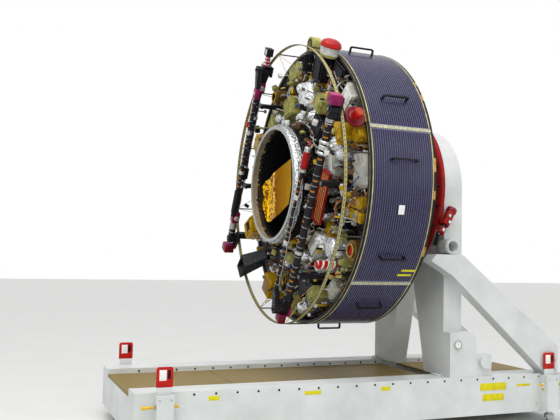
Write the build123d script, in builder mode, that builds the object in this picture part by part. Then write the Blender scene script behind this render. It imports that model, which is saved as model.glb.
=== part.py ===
"""Spin-stabilised drum satellite on its tilting integration trolley.

Millimetres, +Z up. The origin is on the floor, under the middle of the trolley.
The spin axis lies along X and the equipment face looks towards -X.
"""
import os
from collections import namedtuple
from math import cos, degrees, radians, sin, sqrt

from build123d import *

os.makedirs("parts", exist_ok=True)

# Clearances: faces that touch, and faces that pass each other.
seat_gap = 0.3
pin_clearance = 0.05

# The drum. X places run along the spin axis.
axis_height = 2450.0
drum_radius = 1450.0
drum_length = 640.0
face_x = -410.0
back_x = face_x + drum_length
panel_count = 6
panel_thickness = 25.0
panel_gap = 6.0
first_seam_angle = 17.4
rim_depth = 22.0
rim_width = 35.0
rim_lip = 3.0

# The load-carrying cylinder that the front ring belongs to.
hub_radius = 597.0
hub_wall = 14.0
hub_length_ahead = 390.0
hub_flange_width = 26.0
hub_flange_depth = 18.0
hub_flange_lip = 6.0
hub_rib_depth = 90.0
hub_rib_height = 14.0
bulkhead_depth = 690.0
bulkhead_thickness = 20.0

# Platforms that close the drum, and the cone behind it.
platform_thickness = 30.0
platform_setback = 130.0
rear_platform_inset = 70.0
cone_front_radius = 640.0
adapter_radius = 830.0
adapter_thickness = 50.0
adapter_lip = 90.0
adapter_chamfer = 12.0
head_radius = 560.0
head_thickness = 80.0

# Trim on the solar skin.
strip_width = 30.0
strip_height = 8.0
handle_length = 270.0
handle_height = 65.0
handle_radius = 9.0
handle_bar = 18.0
handle_bend = 25.0
handle_offset = 17.8

# The antenna hoop in front of the drum.
hoop_ahead = 265.0
hoop_width = 34.0
hoop_thickness = 8.0
strut_count = 12
first_strut_angle = 7.0
strut_radius = 7.0

# Stowed rigid booms: each is a chord across the face, leaning from the vertical.
# Places are given out from the spin axis and along the chord, in drum radii.
boom_lean = 27.8
boom_out = 0.655 * drum_radius
root_along = -0.772 * drum_radius
mid_along = 0.676 * drum_radius
cover_along = -0.476 * drum_radius
cover_length = 0.18 * drum_radius
saddle_places = (-0.29 * drum_radius, 0.386 * drum_radius)
boom_ahead = 360.0
inner_tube_radius = 35.0
outer_tube_radius = 22.5
tube_step = 80.0
tube_spacing = 150.0
arm_length = 180.0
arm_half_width = 30.0
knuckle_radius = 45.0
knuckle_front = 38.0
knuckle_back = 46.0
hinge_pin_radius = 12.0
pin_head_radius = 20.0
pin_head_height = 6.0
collar_radius = 40.0
collar_length = 70.0
collar_gap = 15.0
cover_radius = 36.0
cover_step = 6.0
cap_length = 60.0
bracket_plate = 25.0
bracket_post = 60.0
bracket_reach = 125.0
root_cover_gap = 5.0
root_cover_length = 120.0
root_cover_width = 150.0
root_cover_depth = 120.0
elbow_cover_width = 120.0
elbow_cover_length = 110.0
elbow_cover_depth = 24.0
saddle_size = 44.0
saddle_clearance = 8.0
saddle_wing = 90.0
saddle_cap = 24.0

# The trolley.
trolley_length = 4640.0
beam_width = 270.0
beam_overhang = 130.0
beam_top = 510.0
beam_bottom = 115.0
deck_drop = 50.0
deck_thickness = 25.0
crossbar_depth = 100.0
crossbar_width = 260.0
fascia_thickness = 60.0

# The arch upright, its braces and the tilting gear.
arch_front_x = 870.0
arch_thickness = 220.0
arch_radius = 700.0
arch_slot_top = 1620.0
arch_slot_top_half = 90.0
arch_slot_foot_half = 355.0
arch_rim = 45.0
arch_rim_depth = 14.0
brace_width = 160.0
brace_depth = 215.0
brace_nose = 200.0
brace_nose_drop = 70.0
brace_head_length = 320.0
brace_end_gap = 90.0
brace_foot_length = 170.0
brace_foot_height = 290.0
brace_pad = 60.0
brace_pad_thickness = 26.0
trunnion_drop = 614.0
trunnion_setback = 15.0
trunnion_radius = 82.0
trunnion_bore = 55.0
trunnion_counterbore = 61.0
trunnion_length = 130.0
trunnion_lip = 12.0
trunnion_lip_step = 10.0
gear_width = 120.0
gear_height = 450.0
gear_top_length = 270.0
gear_foot_length = 335.0
gear_chamfer = 60.0
dial_inset = 88.0
dial_drop = 120.0
dial_radius = 46.0
dial_height = 16.0
motor_length = 190.0
motor_height = 215.0
motor_width = 105.0
motor_cap_radius = 68.0
motor_cap_length = 40.0

# Jack posts at the four corners.
post_inset = 240.0
post_size_x = 146.0
post_size_y = 120.0
post_top = 500.0
post_bottom = 130.0
post_head_height = 70.0
post_head_extra = 12.0
tag_height = 150.0
tag_width = 110.0
tag_thickness = 10.0
tag_corner = 22.0
rod_radius = 11.0
rod_length = 330.0
rod_grip_length = 50.0
rod_grip_radius = 16.0
rod_height = 400.0
rod_offset = 30.0
screw_nut_height = 40.0
screw_nut_radius = 50.0
foot_radius = 90.0
foot_thickness = 22.0
screw_radius = 30.0

# Castors under the end crossbars, just clear of the floor while the jacks are down.
castor_radius = 110.0
castor_width = 50.0
castor_edge = 9.0
castor_trail = 45.0
castor_lift = 3.0
castor_inset = 370.0
castor_y = 330.0
fork_wall = 8.0
fork_clearance = 6.0
crown_clearance = 12.0
crown_thickness = 10.0
axle_radius = 10.0
swivel_radius = 50.0

# Places that follow from the sizes above.
hub_front_x = face_x - hub_length_ahead
platform_x = face_x + platform_setback
base_x = platform_x - seat_gap
rear_platform_x = back_x - rear_platform_inset
adapter_x = arch_front_x - head_thickness - adapter_thickness
rim_front_x = face_x - seat_gap - rim_depth
hoop_front_x = face_x - hoop_ahead - hoop_width / 2
inner_tube_x = face_x - boom_ahead
outer_tube_x = inner_tube_x - tube_step
knuckle_front_x = inner_tube_x - knuckle_front
knuckle_back_x = inner_tube_x + knuckle_back
mid_out = boom_out - tube_spacing / 2
outer_out = boom_out - tube_spacing
arch_back_x = arch_front_x + arch_thickness
arch_side_y = arch_radius + seat_gap
trunnion_z = axis_height - trunnion_drop
brace_top = trunnion_z - trunnion_radius - seat_gap
deck_top = beam_top - deck_drop
crossbar_top = deck_top - deck_thickness - seat_gap
standing_z = beam_top + seat_gap
half_length = trolley_length / 2
beam_outer_y = arch_radius + beam_overhang
beam_inner_y = beam_outer_y - beam_width
post_x = half_length - post_inset
castor_x = half_length - castor_inset
post_y = beam_outer_y + seat_gap + post_size_y / 2
trunnion_x = arch_front_x + trunnion_setback
platform_radius = drum_radius - panel_thickness - seat_gap


def spin_plane(x):
    """A plane square to the spin axis: its x is +Y and its y is +Z."""
    return Plane((x, 0, axis_height), x_dir=(0, 1, 0), z_dir=(1, 0, 0))


def spin_point(radius, angle, x):
    """A point at a radius from the spin axis; angle 0 is -Y and 90 is up."""
    y = -radius * cos(radians(angle))
    z = axis_height + radius * sin(radians(angle))
    return Vector(x, y, z)


def face_plane(radius, angle, x):
    """A plane there that looks along the spin axis, with its y outwards."""
    across = (0, sin(radians(angle)), cos(radians(angle)))
    return Plane(spin_point(radius, angle, x), x_dir=across, z_dir=(1, 0, 0))


def on_face(radius, angle, x):
    """A location there with its Z outwards and its X along the spin axis."""
    return Location(spin_point(radius, angle, x), (90 - angle, 0, 0))


def chord_point(turn, out, along, x):
    """A point given along a stowed boom and out from the spin axis."""
    angle = radians(boom_lean + turn)
    y = -cos(angle) * out + sin(angle) * along
    z = axis_height - sin(angle) * out - cos(angle) * along
    return Vector(x, y, z)


def flat(turn, out, along):
    """The same place as sketch coordinates on a spin plane."""
    point = chord_point(turn, out, along, 0)
    return (point.Y, point.Z - axis_height)


def chord_plane(turn, out, along, x):
    """A plane there square to the boom; its normal runs from root to middle."""
    ahead = chord_point(turn, out, along + 1, x) - chord_point(turn, out, along, x)
    return Plane(chord_point(turn, out, along, x), x_dir=(1, 0, 0), z_dir=ahead)


def crown_middle(size, rise):
    """Halfway point of a round crown: how far from its axis, and how high."""
    ball = (size**2 + rise**2) / (2 * rise)
    away = size / 2
    return (away, sqrt(ball**2 - away**2) - ball + rise)


def save(part, name):
    """Label a finished piece and write it as one STEP file."""
    part.label = name
    export_step(part, f"parts/{name}.step")


# The satellite's body.

with BuildPart() as central_cylinder:
    with BuildSketch(spin_plane(hub_front_x)):
        Circle(hub_radius)
        Circle(hub_radius - hub_wall, mode=Mode.SUBTRACT)
    extrude(amount=rear_platform_x - hub_front_x)
    with BuildSketch(spin_plane(hub_front_x)):
        Circle(hub_radius + hub_flange_lip)
        Circle(hub_radius - hub_flange_width, mode=Mode.SUBTRACT)
    extrude(amount=hub_flange_depth)
    with BuildSketch(spin_plane(hub_front_x + hub_rib_depth)):
        Circle(hub_radius - hub_wall / 2)
        Circle(hub_radius - hub_wall - hub_rib_height, mode=Mode.SUBTRACT)
    extrude(amount=hub_wall)
    with BuildSketch(spin_plane(hub_front_x + bulkhead_depth)):
        Circle(hub_radius - hub_wall / 2)
    extrude(amount=bulkhead_thickness)
save(central_cylinder.part, "central_cylinder")

with BuildPart() as platforms:
    with BuildSketch(spin_plane(platform_x)):
        Circle(platform_radius)
        Circle(hub_radius + seat_gap, mode=Mode.SUBTRACT)
    extrude(amount=platform_thickness)
    with BuildSketch(spin_plane(rear_platform_x + seat_gap)):
        Circle(platform_radius)
    extrude(amount=platform_thickness)
save(platforms.part, "platforms")

panel_angle = 360 / panel_count
gap_angle = degrees(panel_gap / drum_radius)
with BuildPart() as solar_panels:
    for index in range(panel_count):
        start = 180 - first_seam_angle + index * panel_angle + gap_angle / 2
        sweep_angle = panel_angle - gap_angle
        with BuildSketch(spin_plane(face_x)):
            with BuildLine():
                outer = CenterArc((0, 0), drum_radius, start, sweep_angle)
                inner = CenterArc((0, 0), drum_radius - panel_thickness, start, sweep_angle)
                Line(outer @ 0, inner @ 0)
                Line(outer @ 1, inner @ 1)
            make_face()
        extrude(amount=drum_length)
save(solar_panels.part, "solar_panels")

with BuildPart() as drum_rims:
    for x in (rim_front_x, back_x + seat_gap):
        with BuildSketch(spin_plane(x)):
            Circle(drum_radius + rim_lip)
            Circle(drum_radius - rim_width, mode=Mode.SUBTRACT)
        extrude(amount=rim_depth)
save(drum_rims.part, "drum_rims")

with BuildPart() as seam_strips:
    for index in range(panel_count):
        angle = first_seam_angle + index * panel_angle
        middle = on_face(drum_radius + seat_gap + strip_height / 2, angle, (face_x + back_x) / 2)
        with Locations(middle):
            Box(drum_length, strip_width, strip_height)
save(seam_strips.part, "seam_strips")

with BuildPart() as grab_handles:
    for index in range(panel_count):
        for offset in (-handle_offset, handle_offset):
            angle = first_seam_angle + (index + 0.5) * panel_angle + offset
            foot = on_face(drum_radius + seat_gap, angle, (face_x + back_x) / 2)
            inside = (handle_length - 2 * handle_bar, 2 * (handle_height - handle_bar))
            with BuildSketch(Plane(foot) * Plane.XZ.offset(-handle_radius)):
                RectangleRounded(handle_length, 2 * handle_height, handle_bend)
                RectangleRounded(*inside, handle_bend - handle_bar, mode=Mode.SUBTRACT)
                with Locations((0, -handle_height / 2)):
                    Rectangle(handle_length, handle_height, mode=Mode.SUBTRACT)
            extrude(amount=2 * handle_radius)
save(grab_handles.part, "grab_handles")

cone_front_x = rear_platform_x + platform_thickness + 2 * seat_gap
with BuildPart() as rear_cone:
    with BuildSketch(Plane.XZ):
        with BuildLine():
            Polyline(
                (cone_front_x, axis_height),
                (cone_front_x, axis_height + cone_front_radius),
                (adapter_x - seat_gap, axis_height + adapter_radius - adapter_lip),
                (adapter_x - seat_gap, axis_height),
                close=True,
            )
        make_face()
    revolve(axis=Axis((0, 0, axis_height), (1, 0, 0)))
save(rear_cone.part, "rear_cone")

with BuildPart() as adapter_ring:
    with BuildSketch(spin_plane(adapter_x)):
        Circle(adapter_radius)
    extrude(amount=adapter_thickness)
    chamfer(adapter_ring.edges().filter_by(GeomType.CIRCLE).group_by(Axis.X)[0], adapter_chamfer)
save(adapter_ring.part, "adapter_ring")

with BuildPart() as turning_head:
    with BuildSketch(spin_plane(adapter_x + adapter_thickness + seat_gap)):
        Circle(head_radius)
    extrude(amount=head_thickness - 2 * seat_gap)
save(turning_head.part, "turning_head")

# The wire-antenna hoop stands on struts in front of the rim.
strut_ring = drum_radius - hoop_thickness / 2
with BuildPart() as antenna_hoop:
    with BuildSketch(spin_plane(hoop_front_x)):
        Circle(drum_radius)
        Circle(drum_radius - hoop_thickness, mode=Mode.SUBTRACT)
    extrude(amount=hoop_width)
    for index in range(strut_count):
        angle = first_strut_angle + index * 360 / strut_count
        with BuildSketch(face_plane(strut_ring, angle, hoop_front_x + hoop_width + seat_gap)):
            Circle(strut_radius)
        extrude(amount=rim_front_x - hoop_front_x - hoop_width - 2 * seat_gap)
save(antenna_hoop.part, "antenna_hoop")

# Equipment on the front platform. Each row says how far a box's front stands
# ahead of the drum's face, its size across, and where it starts and ends on the
# way from the hub (0) to the platform's edge (1).
annulus = platform_radius - hub_radius
corner_cut = 14.0
lid_inset = 18.0
lid_height = 8.0
FaceBox = namedtuple("FaceBox", "angle start end across ahead")
black_rows = (
    FaceBox(85.3, 0.72, 0.97, 90, 80),
    FaceBox(67.6, 0.63, 0.95, 210, 100),
    FaceBox(53.3, 0.70, 0.96, 250, 20),
    FaceBox(43.6, 0.12, 0.36, 250, 140),
    FaceBox(-21.0, 0.30, 0.47, 270, 0),
    FaceBox(-6.5, 0.30, 0.465, 165, 30),
    FaceBox(-70.0, 0.46, 0.63, 150, 100),
    FaceBox(-87.0, 0.33, 0.66, 270, 20),
    FaceBox(221.0, 0.20, 0.44, 260, 90),
    FaceBox(236.0, 0.25, 0.52, 200, 60),
)
silver_rows = (
    FaceBox(36.0, 0.69, 0.96, 230, 50),
    FaceBox(2.0, 0.62, 0.94, 330, 10),
    FaceBox(8.0, 0.14, 0.42, 230, 120),
    FaceBox(-55.5, 0.74, 0.94, 190, 20),
    FaceBox(-52.0, 0.14, 0.36, 240, 110),
    FaceBox(166.0, 0.70, 0.95, 210, 60),
    FaceBox(185.5, 0.12, 0.40, 250, 90),
    FaceBox(146.0, 0.14, 0.40, 230, 120),
)
gold_rows = (
    FaceBox(21.5, 0.60, 0.78, 250, 160),
    FaceBox(16.3, 0.80, 0.95, 120, 80),
    FaceBox(-11.6, 0.52, 0.88, 110, 20),
    FaceBox(-17.2, 0.54, 0.92, 92, 30),
    FaceBox(-36.5, 0.20, 0.36, 150, 40),
    FaceBox(203.1, 0.45, 0.72, 200, 270),
    FaceBox(151.5, 0.62, 0.88, 200, 150),
    FaceBox(239.5, 0.66, 0.94, 220, 160),
)
olive_rows = (
    FaceBox(102.4, 0.22, 0.48, 210, 140),
    FaceBox(100.8, 0.72, 0.95, 250, 50),
    FaceBox(48.8, 0.39, 0.58, 170, 180),
    FaceBox(-67.6, 0.66, 0.82, 180, 120),
    FaceBox(136.0, 0.54, 0.78, 180, 70),
    FaceBox(262.5, 0.70, 0.94, 210, 100),
    FaceBox(-98.0, 0.14, 0.28, 170, 120),
)
box_nodes = (
    ("black_boxes", black_rows),
    ("silver_boxes", silver_rows),
    ("gold_boxes", gold_rows),
    ("olive_boxes", olive_rows),
)
for name, rows in box_nodes:
    with BuildPart() as boxes:
        for row in rows:
            middle = hub_radius + annulus * (row.start + row.end) / 2
            outward = annulus * (row.end - row.start)
            front_x = face_x - row.ahead
            with BuildSketch(face_plane(middle, row.angle, front_x)) as outline:
                Rectangle(row.across, outward)
                chamfer(outline.vertices(), corner_cut)
            extrude(amount=base_x - front_x)
            with BuildSketch(face_plane(middle, row.angle, front_x)):
                Rectangle(row.across - 2 * lid_inset, outward - 2 * lid_inset)
            extrude(amount=-lid_height)
    save(boxes.part, name)

# Round instruments that look forward, each with a raised ring on its end.
FaceCan = namedtuple("FaceCan", "angle place size ahead sides")
can_rows = (
    FaceCan(121.4, 0.80, 92, 100, 10),
    FaceCan(-31.5, 0.86, 98, 20, 0),
    FaceCan(107.0, 0.60, 48, 60, 0),
    FaceCan(171.0, 0.30, 60, 50, 0),
    FaceCan(252.0, 0.55, 70, 60, 0),
)
can_ring_outside = 0.70
can_ring_inside = 0.55
can_ring_height = 18.0
with BuildPart() as round_sensors:
    for row in can_rows:
        middle = hub_radius + annulus * row.place
        front_x = face_x - row.ahead
        with BuildSketch(face_plane(middle, row.angle, front_x)):
            if row.sides:
                RegularPolygon(row.size, row.sides)
            else:
                Circle(row.size)
        extrude(amount=base_x - front_x)
        with BuildSketch(face_plane(middle, row.angle, front_x)):
            Circle(row.size * can_ring_outside)
            Circle(row.size * can_ring_inside, mode=Mode.SUBTRACT)
        extrude(amount=-can_ring_height)
save(round_sensors.part, "round_sensors")

# Foil-wrapped domes: a straight side and a shallow crown.
FoilDome = namedtuple("FoilDome", "angle place size ahead rise")
dome_rows = (
    FoilDome(76.7, 0.41, 165, 90, 75),
    FoilDome(-40.5, 0.51, 108, 50, 60),
    FoilDome(118.0, 0.30, 100, 60, 50),
    FoilDome(203.0, 0.22, 88, 60, 50),
)
with BuildPart() as foil_domes:
    for row in dome_rows:
        middle = hub_radius + annulus * row.place
        centre = spin_point(middle, row.angle, 0)
        shoulder_x = face_x - row.ahead
        away, height = crown_middle(row.size, row.rise)
        with BuildSketch(Plane.XY.offset(centre.Z)):
            with BuildLine():
                base = Line((base_x, centre.Y), (base_x, centre.Y + row.size))
                side = Line(base @ 1, (shoulder_x, centre.Y + row.size))
                ThreePointArc(
                    side @ 1,
                    (shoulder_x - height, centre.Y + away),
                    (shoulder_x - row.rise, centre.Y),
                )
                Line((shoulder_x - row.rise, centre.Y), base @ 0)
            make_face()
        revolve(axis=Axis((0, centre.Y, centre.Z), (1, 0, 0)))
save(foil_domes.part, "foil_domes")

# The flared black horn: an open funnel on a stem, looking forward at lower left.
horn_angle = 221.3
horn_mouth_ahead = 350.0
horn_throat_ahead = 110.0
horn_mouth_place = 0.888
horn_throat_place = 0.68
horn_mouth_across = 180.0
horn_mouth_outward = 200.0
horn_throat_size = 138.0
horn_wall = 6.0
horn_stem_radius = 30.0
mouth_x = face_x - horn_mouth_ahead
throat_x = face_x - horn_throat_ahead
mouth_plane = face_plane(hub_radius + annulus * horn_mouth_place, horn_angle, mouth_x)
throat_plane = face_plane(hub_radius + annulus * horn_throat_place, horn_angle, throat_x)
with BuildPart() as sensor_horn:
    with BuildSketch(mouth_plane):
        Rectangle(horn_mouth_across, horn_mouth_outward)
    with BuildSketch(throat_plane):
        Rectangle(horn_throat_size, horn_throat_size)
    loft(ruled=True)
    with BuildSketch(mouth_plane):
        Rectangle(horn_mouth_across - 2 * horn_wall, horn_mouth_outward - 2 * horn_wall)
    with BuildSketch(throat_plane.offset(-horn_wall)):
        Rectangle(horn_throat_size - 2 * horn_wall, horn_throat_size - 2 * horn_wall)
    loft(ruled=True, mode=Mode.SUBTRACT)
    with BuildSketch(throat_plane):
        Circle(horn_stem_radius)
    extrude(amount=base_x - throat_x)
save(sensor_horn.part, "sensor_horn")

# Red and white striped covers: a leaning panel on two feet, and a cylinder.
cover_panel_angle = -13.2
cover_panel_place = 0.175
cover_panel_lean = 24.0
cover_panel_width = 210.0
cover_panel_length = 0.64 * annulus
cover_panel_ahead = 170.0
cover_panel_thickness = 30.0
cover_foot = 56.0
cover_can_angle = -43.8
cover_can_place = 0.715
cover_can_radius = 40.0
cover_can_ahead = 250.0
cover_can_length = 200.0
cover_can_stem = 16.0
panel_middle = spin_point(hub_radius + annulus * cover_panel_place, cover_panel_angle, 0)
panel_place = Location((panel_middle.Y, panel_middle.Z - axis_height, 0), cover_panel_lean)
with BuildPart() as striped_covers:
    with BuildSketch(spin_plane(face_x - cover_panel_ahead)):
        with Locations(panel_place):
            RectangleRounded(cover_panel_width, cover_panel_length, cover_foot / 2)
    extrude(amount=cover_panel_thickness)
    with BuildSketch(spin_plane(face_x - cover_panel_ahead + cover_panel_thickness / 2)):
        with Locations(panel_place):
            with Locations((0, cover_panel_length / 4), (0, -cover_panel_length / 4)):
                Rectangle(cover_foot, cover_foot)
    extrude(amount=base_x - face_x + cover_panel_ahead - cover_panel_thickness / 2)
    can_middle = hub_radius + annulus * cover_can_place
    with BuildSketch(face_plane(can_middle, cover_can_angle, face_x - cover_can_ahead)):
        Circle(cover_can_radius)
    extrude(amount=cover_can_length)
    with BuildSketch(face_plane(can_middle, cover_can_angle, face_x - cover_can_ahead)):
        Circle(cover_can_stem)
    extrude(amount=base_x - face_x + cover_can_ahead)
save(striped_covers.part, "striped_covers")

# Covered sensors on the rim. Both stand outwards on a foot that reaches the rim.
rim_foot_ahead = 50.0
rim_foot_width = 80.0
rim_foot_height = 30.0
dome_angle = 57.0
dome_sink = -30.0
dome_foot_sink = 20.0
dome_can_radius = 96.0
dome_can_height = 110.0
dome_cap_radius = 108.0
dome_cap_rise = 64.0
dome_cap_skirt = 12.0
dome_ahead = 130.0
hat_angle = 20.6
hat_sink = 14.0
hat_ahead = 130.0
hat_brim_radius = 105.0
hat_brim_height = 40.0
hat_brim_chamfer = 13.0
hat_crown_radius = 48.0
hat_crown_height = 84.0
nose_angle = 76.5
nose_ahead = 130.0
nose_radius = 72.0
nose_lens_radius = 40.0
nose_lens_seat = 1.0
nose_length = 96.0
nose_sink = -24.0
nose_foot_sink = 20.0


def rim_foot(sink, angle):
    """The block that ties a covered sensor to the rim's front face."""
    length = rim_foot_ahead - rim_depth - 2 * seat_gap
    place = on_face(drum_radius - sink, angle, face_x - rim_foot_ahead + length / 2)
    with Locations(place):
        Box(length, rim_foot_width, rim_foot_height)


with BuildPart() as red_dome:
    with Locations(on_face(drum_radius - dome_sink, dome_angle, face_x - dome_ahead)):
        Cylinder(dome_can_radius, dome_can_height)
    cap_base = on_face(drum_radius - dome_sink + dome_can_height / 2, dome_angle, face_x - dome_ahead)
    cap_plane = Plane(cap_base) * Plane.XZ
    with BuildSketch(cap_plane):
        with BuildLine():
            floor_line = Line((0, -dome_cap_skirt), (dome_cap_radius, -dome_cap_skirt))
            side_line = Line(floor_line @ 1, (dome_cap_radius, 0))
            crown_arc = ThreePointArc(
                side_line @ 1,
                crown_middle(dome_cap_radius, dome_cap_rise),
                (0, dome_cap_rise),
            )
            Line(crown_arc @ 1, floor_line @ 0)
        make_face()
    revolve(axis=Axis(cap_base.position, Plane(cap_base).z_dir))
    rim_foot(dome_foot_sink, dome_angle)
save(red_dome.part, "red_dome")

with BuildPart() as hat_cover:
    hat_place = on_face(drum_radius - hat_sink, hat_angle, face_x - hat_ahead)
    with BuildSketch(Plane(hat_place)):
        Circle(hat_brim_radius)
    extrude(amount=hat_brim_height / 2, both=True)
    brim_edges = hat_cover.edges().filter_by(GeomType.CIRCLE)
    chamfer(brim_edges, hat_brim_chamfer)
    with BuildSketch(Plane(hat_place)):
        Circle(hat_crown_radius)
    extrude(amount=hat_brim_height / 2 + hat_crown_height)
    rim_foot(hat_sink, hat_angle)
save(hat_cover.part, "hat_cover")

with BuildPart() as nose_sensor:
    nose_middle = drum_radius - nose_sink
    with BuildSketch(face_plane(nose_middle, nose_angle, face_x - nose_ahead)):
        Circle(nose_radius)
        with Locations((0, -nose_radius / 2)):
            Rectangle(2 * nose_radius, nose_radius)
        Circle(nose_lens_radius, mode=Mode.SUBTRACT)
    extrude(amount=nose_length)
    with BuildSketch(face_plane(nose_middle, nose_angle, face_x - nose_ahead + nose_length / 2)):
        Circle(nose_lens_radius + nose_lens_seat)
    extrude(amount=nose_length / 2)
    rim_foot(nose_foot_sink, nose_angle)
save(nose_sensor.part, "nose_sensor")

# A sheet of gold foil hangs in the mouth of the hub. Corners are in hub radii.
foil_thickness = 6.0
foil_x = hub_front_x + hub_rib_depth - foil_thickness - seat_gap
foil_corners = (
    (-0.52, 0.407),
    (0.19, 0.240),
    (0.83, 0.097),
    (0.975, 0.0),
    (0.94, -0.209),
    (0.79, -0.484),
    (0.63, -0.638),
    (0.38, -0.647),
    (-0.08, -0.506),
    (-0.48, -0.372),
    (-0.57, -0.055),
)
with BuildPart() as foil_sheet:
    with BuildSketch(spin_plane(foil_x)):
        Polygon(*((hub_radius * y, hub_radius * z) for y, z in foil_corners), align=None)
    extrude(amount=foil_thickness)
save(foil_sheet.part, "foil_sheet")

# Stowed booms. The far one is the near one turned half a turn about the spin axis.
# Beyond its elbow the near one carries a cover block, the far one a boxed sensor on
# a neck. Each row says where a block starts and ends past the elbow's pin.
sides = (("near", 0), ("far", 180))
EndBlock = namedtuple("EndBlock", "start end width depth")
end_blocks = {
    "near": (EndBlock(50, 140, 104, 76),),
    "far": (EndBlock(50, 172, 56, 44), EndBlock(166, 250, 96, 76)),
}
pin_front_x = outer_tube_x - knuckle_front
collar_start = root_along + knuckle_radius + collar_gap
collar_end = mid_along - arm_length - collar_length - collar_gap
collar_places = (collar_start, collar_end)
outer_arm_front_x = outer_tube_x - outer_tube_radius
outer_arm_back_x = outer_tube_x + outer_tube_radius + pin_head_height
for side, turn in sides:
    with BuildPart() as boom_inner:
        with BuildSketch(chord_plane(turn, boom_out, root_along, inner_tube_x)):
            Circle(inner_tube_radius)
        extrude(amount=mid_along - root_along - arm_length + arm_half_width)
        for along in collar_places:
            with BuildSketch(chord_plane(turn, boom_out, along, inner_tube_x)):
                Circle(collar_radius)
            extrude(amount=collar_length)
        with BuildSketch(spin_plane(knuckle_front_x)):
            with Locations(flat(turn, boom_out, root_along)):
                Circle(knuckle_radius)
        extrude(amount=knuckle_back_x - knuckle_front_x)
        with BuildSketch(spin_plane(knuckle_front_x)):
            Polygon(
                flat(turn, boom_out + arm_half_width, mid_along - arm_length),
                flat(turn, boom_out - arm_half_width, mid_along - arm_length),
                flat(turn, mid_out - knuckle_radius, mid_along),
                flat(turn, mid_out + knuckle_radius, mid_along),
                align=None,
            )
            with Locations(flat(turn, mid_out, mid_along)):
                Circle(knuckle_radius)
        extrude(amount=knuckle_back_x - knuckle_front_x)
        with BuildSketch(spin_plane(pin_front_x)):
            with Locations(flat(turn, mid_out, mid_along)):
                Circle(hinge_pin_radius)
        extrude(amount=knuckle_front_x - pin_front_x + seat_gap)
        with BuildSketch(spin_plane(knuckle_front_x - seat_gap)):
            with Locations(flat(turn, boom_out, root_along)):
                Circle(hinge_pin_radius + pin_clearance)
        extrude(amount=knuckle_back_x - knuckle_front_x + 2 * seat_gap, mode=Mode.SUBTRACT)
    save(boom_inner.part, f"{side}_boom_inner")

    with BuildPart() as elbow_cover:
        with BuildSketch(spin_plane(knuckle_back_x + seat_gap)):
            Polygon(
                flat(turn, mid_out - elbow_cover_width / 2, mid_along + elbow_cover_length / 2),
                flat(turn, mid_out + elbow_cover_width / 2, mid_along + elbow_cover_length / 2),
                flat(turn, mid_out + elbow_cover_width / 2, mid_along - elbow_cover_length / 2),
                flat(turn, mid_out - elbow_cover_width / 2, mid_along - elbow_cover_length / 2),
                align=None,
            )
        extrude(amount=elbow_cover_depth)
        with BuildSketch(spin_plane(knuckle_front_x)):
            Polygon(
                flat(turn, mid_out - elbow_cover_width / 2, mid_along + elbow_cover_length / 2),
                flat(turn, mid_out + elbow_cover_width / 2, mid_along + elbow_cover_length / 2),
                flat(turn, mid_out + elbow_cover_width / 2, mid_along + knuckle_radius + seat_gap),
                flat(turn, mid_out - elbow_cover_width / 2, mid_along + knuckle_radius + seat_gap),
                align=None,
            )
        extrude(amount=knuckle_back_x - knuckle_front_x + 2 * seat_gap)
        for block in end_blocks[side]:
            with BuildSketch(spin_plane(inner_tube_x - block.depth / 2)):
                Polygon(
                    flat(turn, mid_out - block.width / 2, mid_along + block.start),
                    flat(turn, mid_out + block.width / 2, mid_along + block.start),
                    flat(turn, mid_out + block.width / 2, mid_along + block.end),
                    flat(turn, mid_out - block.width / 2, mid_along + block.end),
                    align=None,
                )
            extrude(amount=block.depth)
    save(elbow_cover.part, f"{side}_elbow_cover")

    with BuildPart() as boom_outer:
        with BuildSketch(chord_plane(turn, outer_out, cover_along, outer_tube_x)):
            Circle(outer_tube_radius)
        extrude(amount=mid_along - cover_along - arm_length + arm_half_width)
        with BuildSketch(spin_plane(outer_arm_front_x)):
            Polygon(
                flat(turn, outer_out + arm_half_width, mid_along - arm_length),
                flat(turn, outer_out - arm_half_width, mid_along - arm_length),
                flat(turn, mid_out - knuckle_radius, mid_along),
                flat(turn, mid_out + knuckle_radius, mid_along),
                align=None,
            )
        extrude(amount=outer_arm_back_x - outer_arm_front_x)
        with BuildSketch(spin_plane(outer_arm_front_x)):
            with Locations(flat(turn, mid_out, mid_along)):
                Circle(knuckle_radius)
        extrude(amount=knuckle_front_x - seat_gap - outer_arm_front_x)
        with BuildSketch(spin_plane(outer_arm_front_x - seat_gap)):
            with Locations(flat(turn, mid_out, mid_along)):
                Circle(hinge_pin_radius + pin_clearance)
        extrude(amount=knuckle_front_x - outer_arm_front_x + seat_gap, mode=Mode.SUBTRACT)
    save(boom_outer.part, f"{side}_boom_outer")

    # The sensor at the free end wears a red sleeve over the tube and a cap.
    with BuildPart() as sensor_cover:
        with BuildSketch(chord_plane(turn, outer_out, cover_along, outer_tube_x)):
            Circle(cover_radius)
            Circle(outer_tube_radius + seat_gap, mode=Mode.SUBTRACT)
        extrude(amount=cover_length)
        with BuildSketch(chord_plane(turn, outer_out, cover_along - cap_length, outer_tube_x)):
            Circle(cover_radius - cover_step)
        extrude(amount=cap_length - seat_gap)
        with BuildSketch(chord_plane(turn, outer_out, cover_along - 2 * cover_step, outer_tube_x)):
            Circle(cover_radius)
            Circle(outer_tube_radius + seat_gap, mode=Mode.SUBTRACT)
        extrude(amount=3 * cover_step)
    save(sensor_cover.part, f"{side}_sensor_cover")

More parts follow.
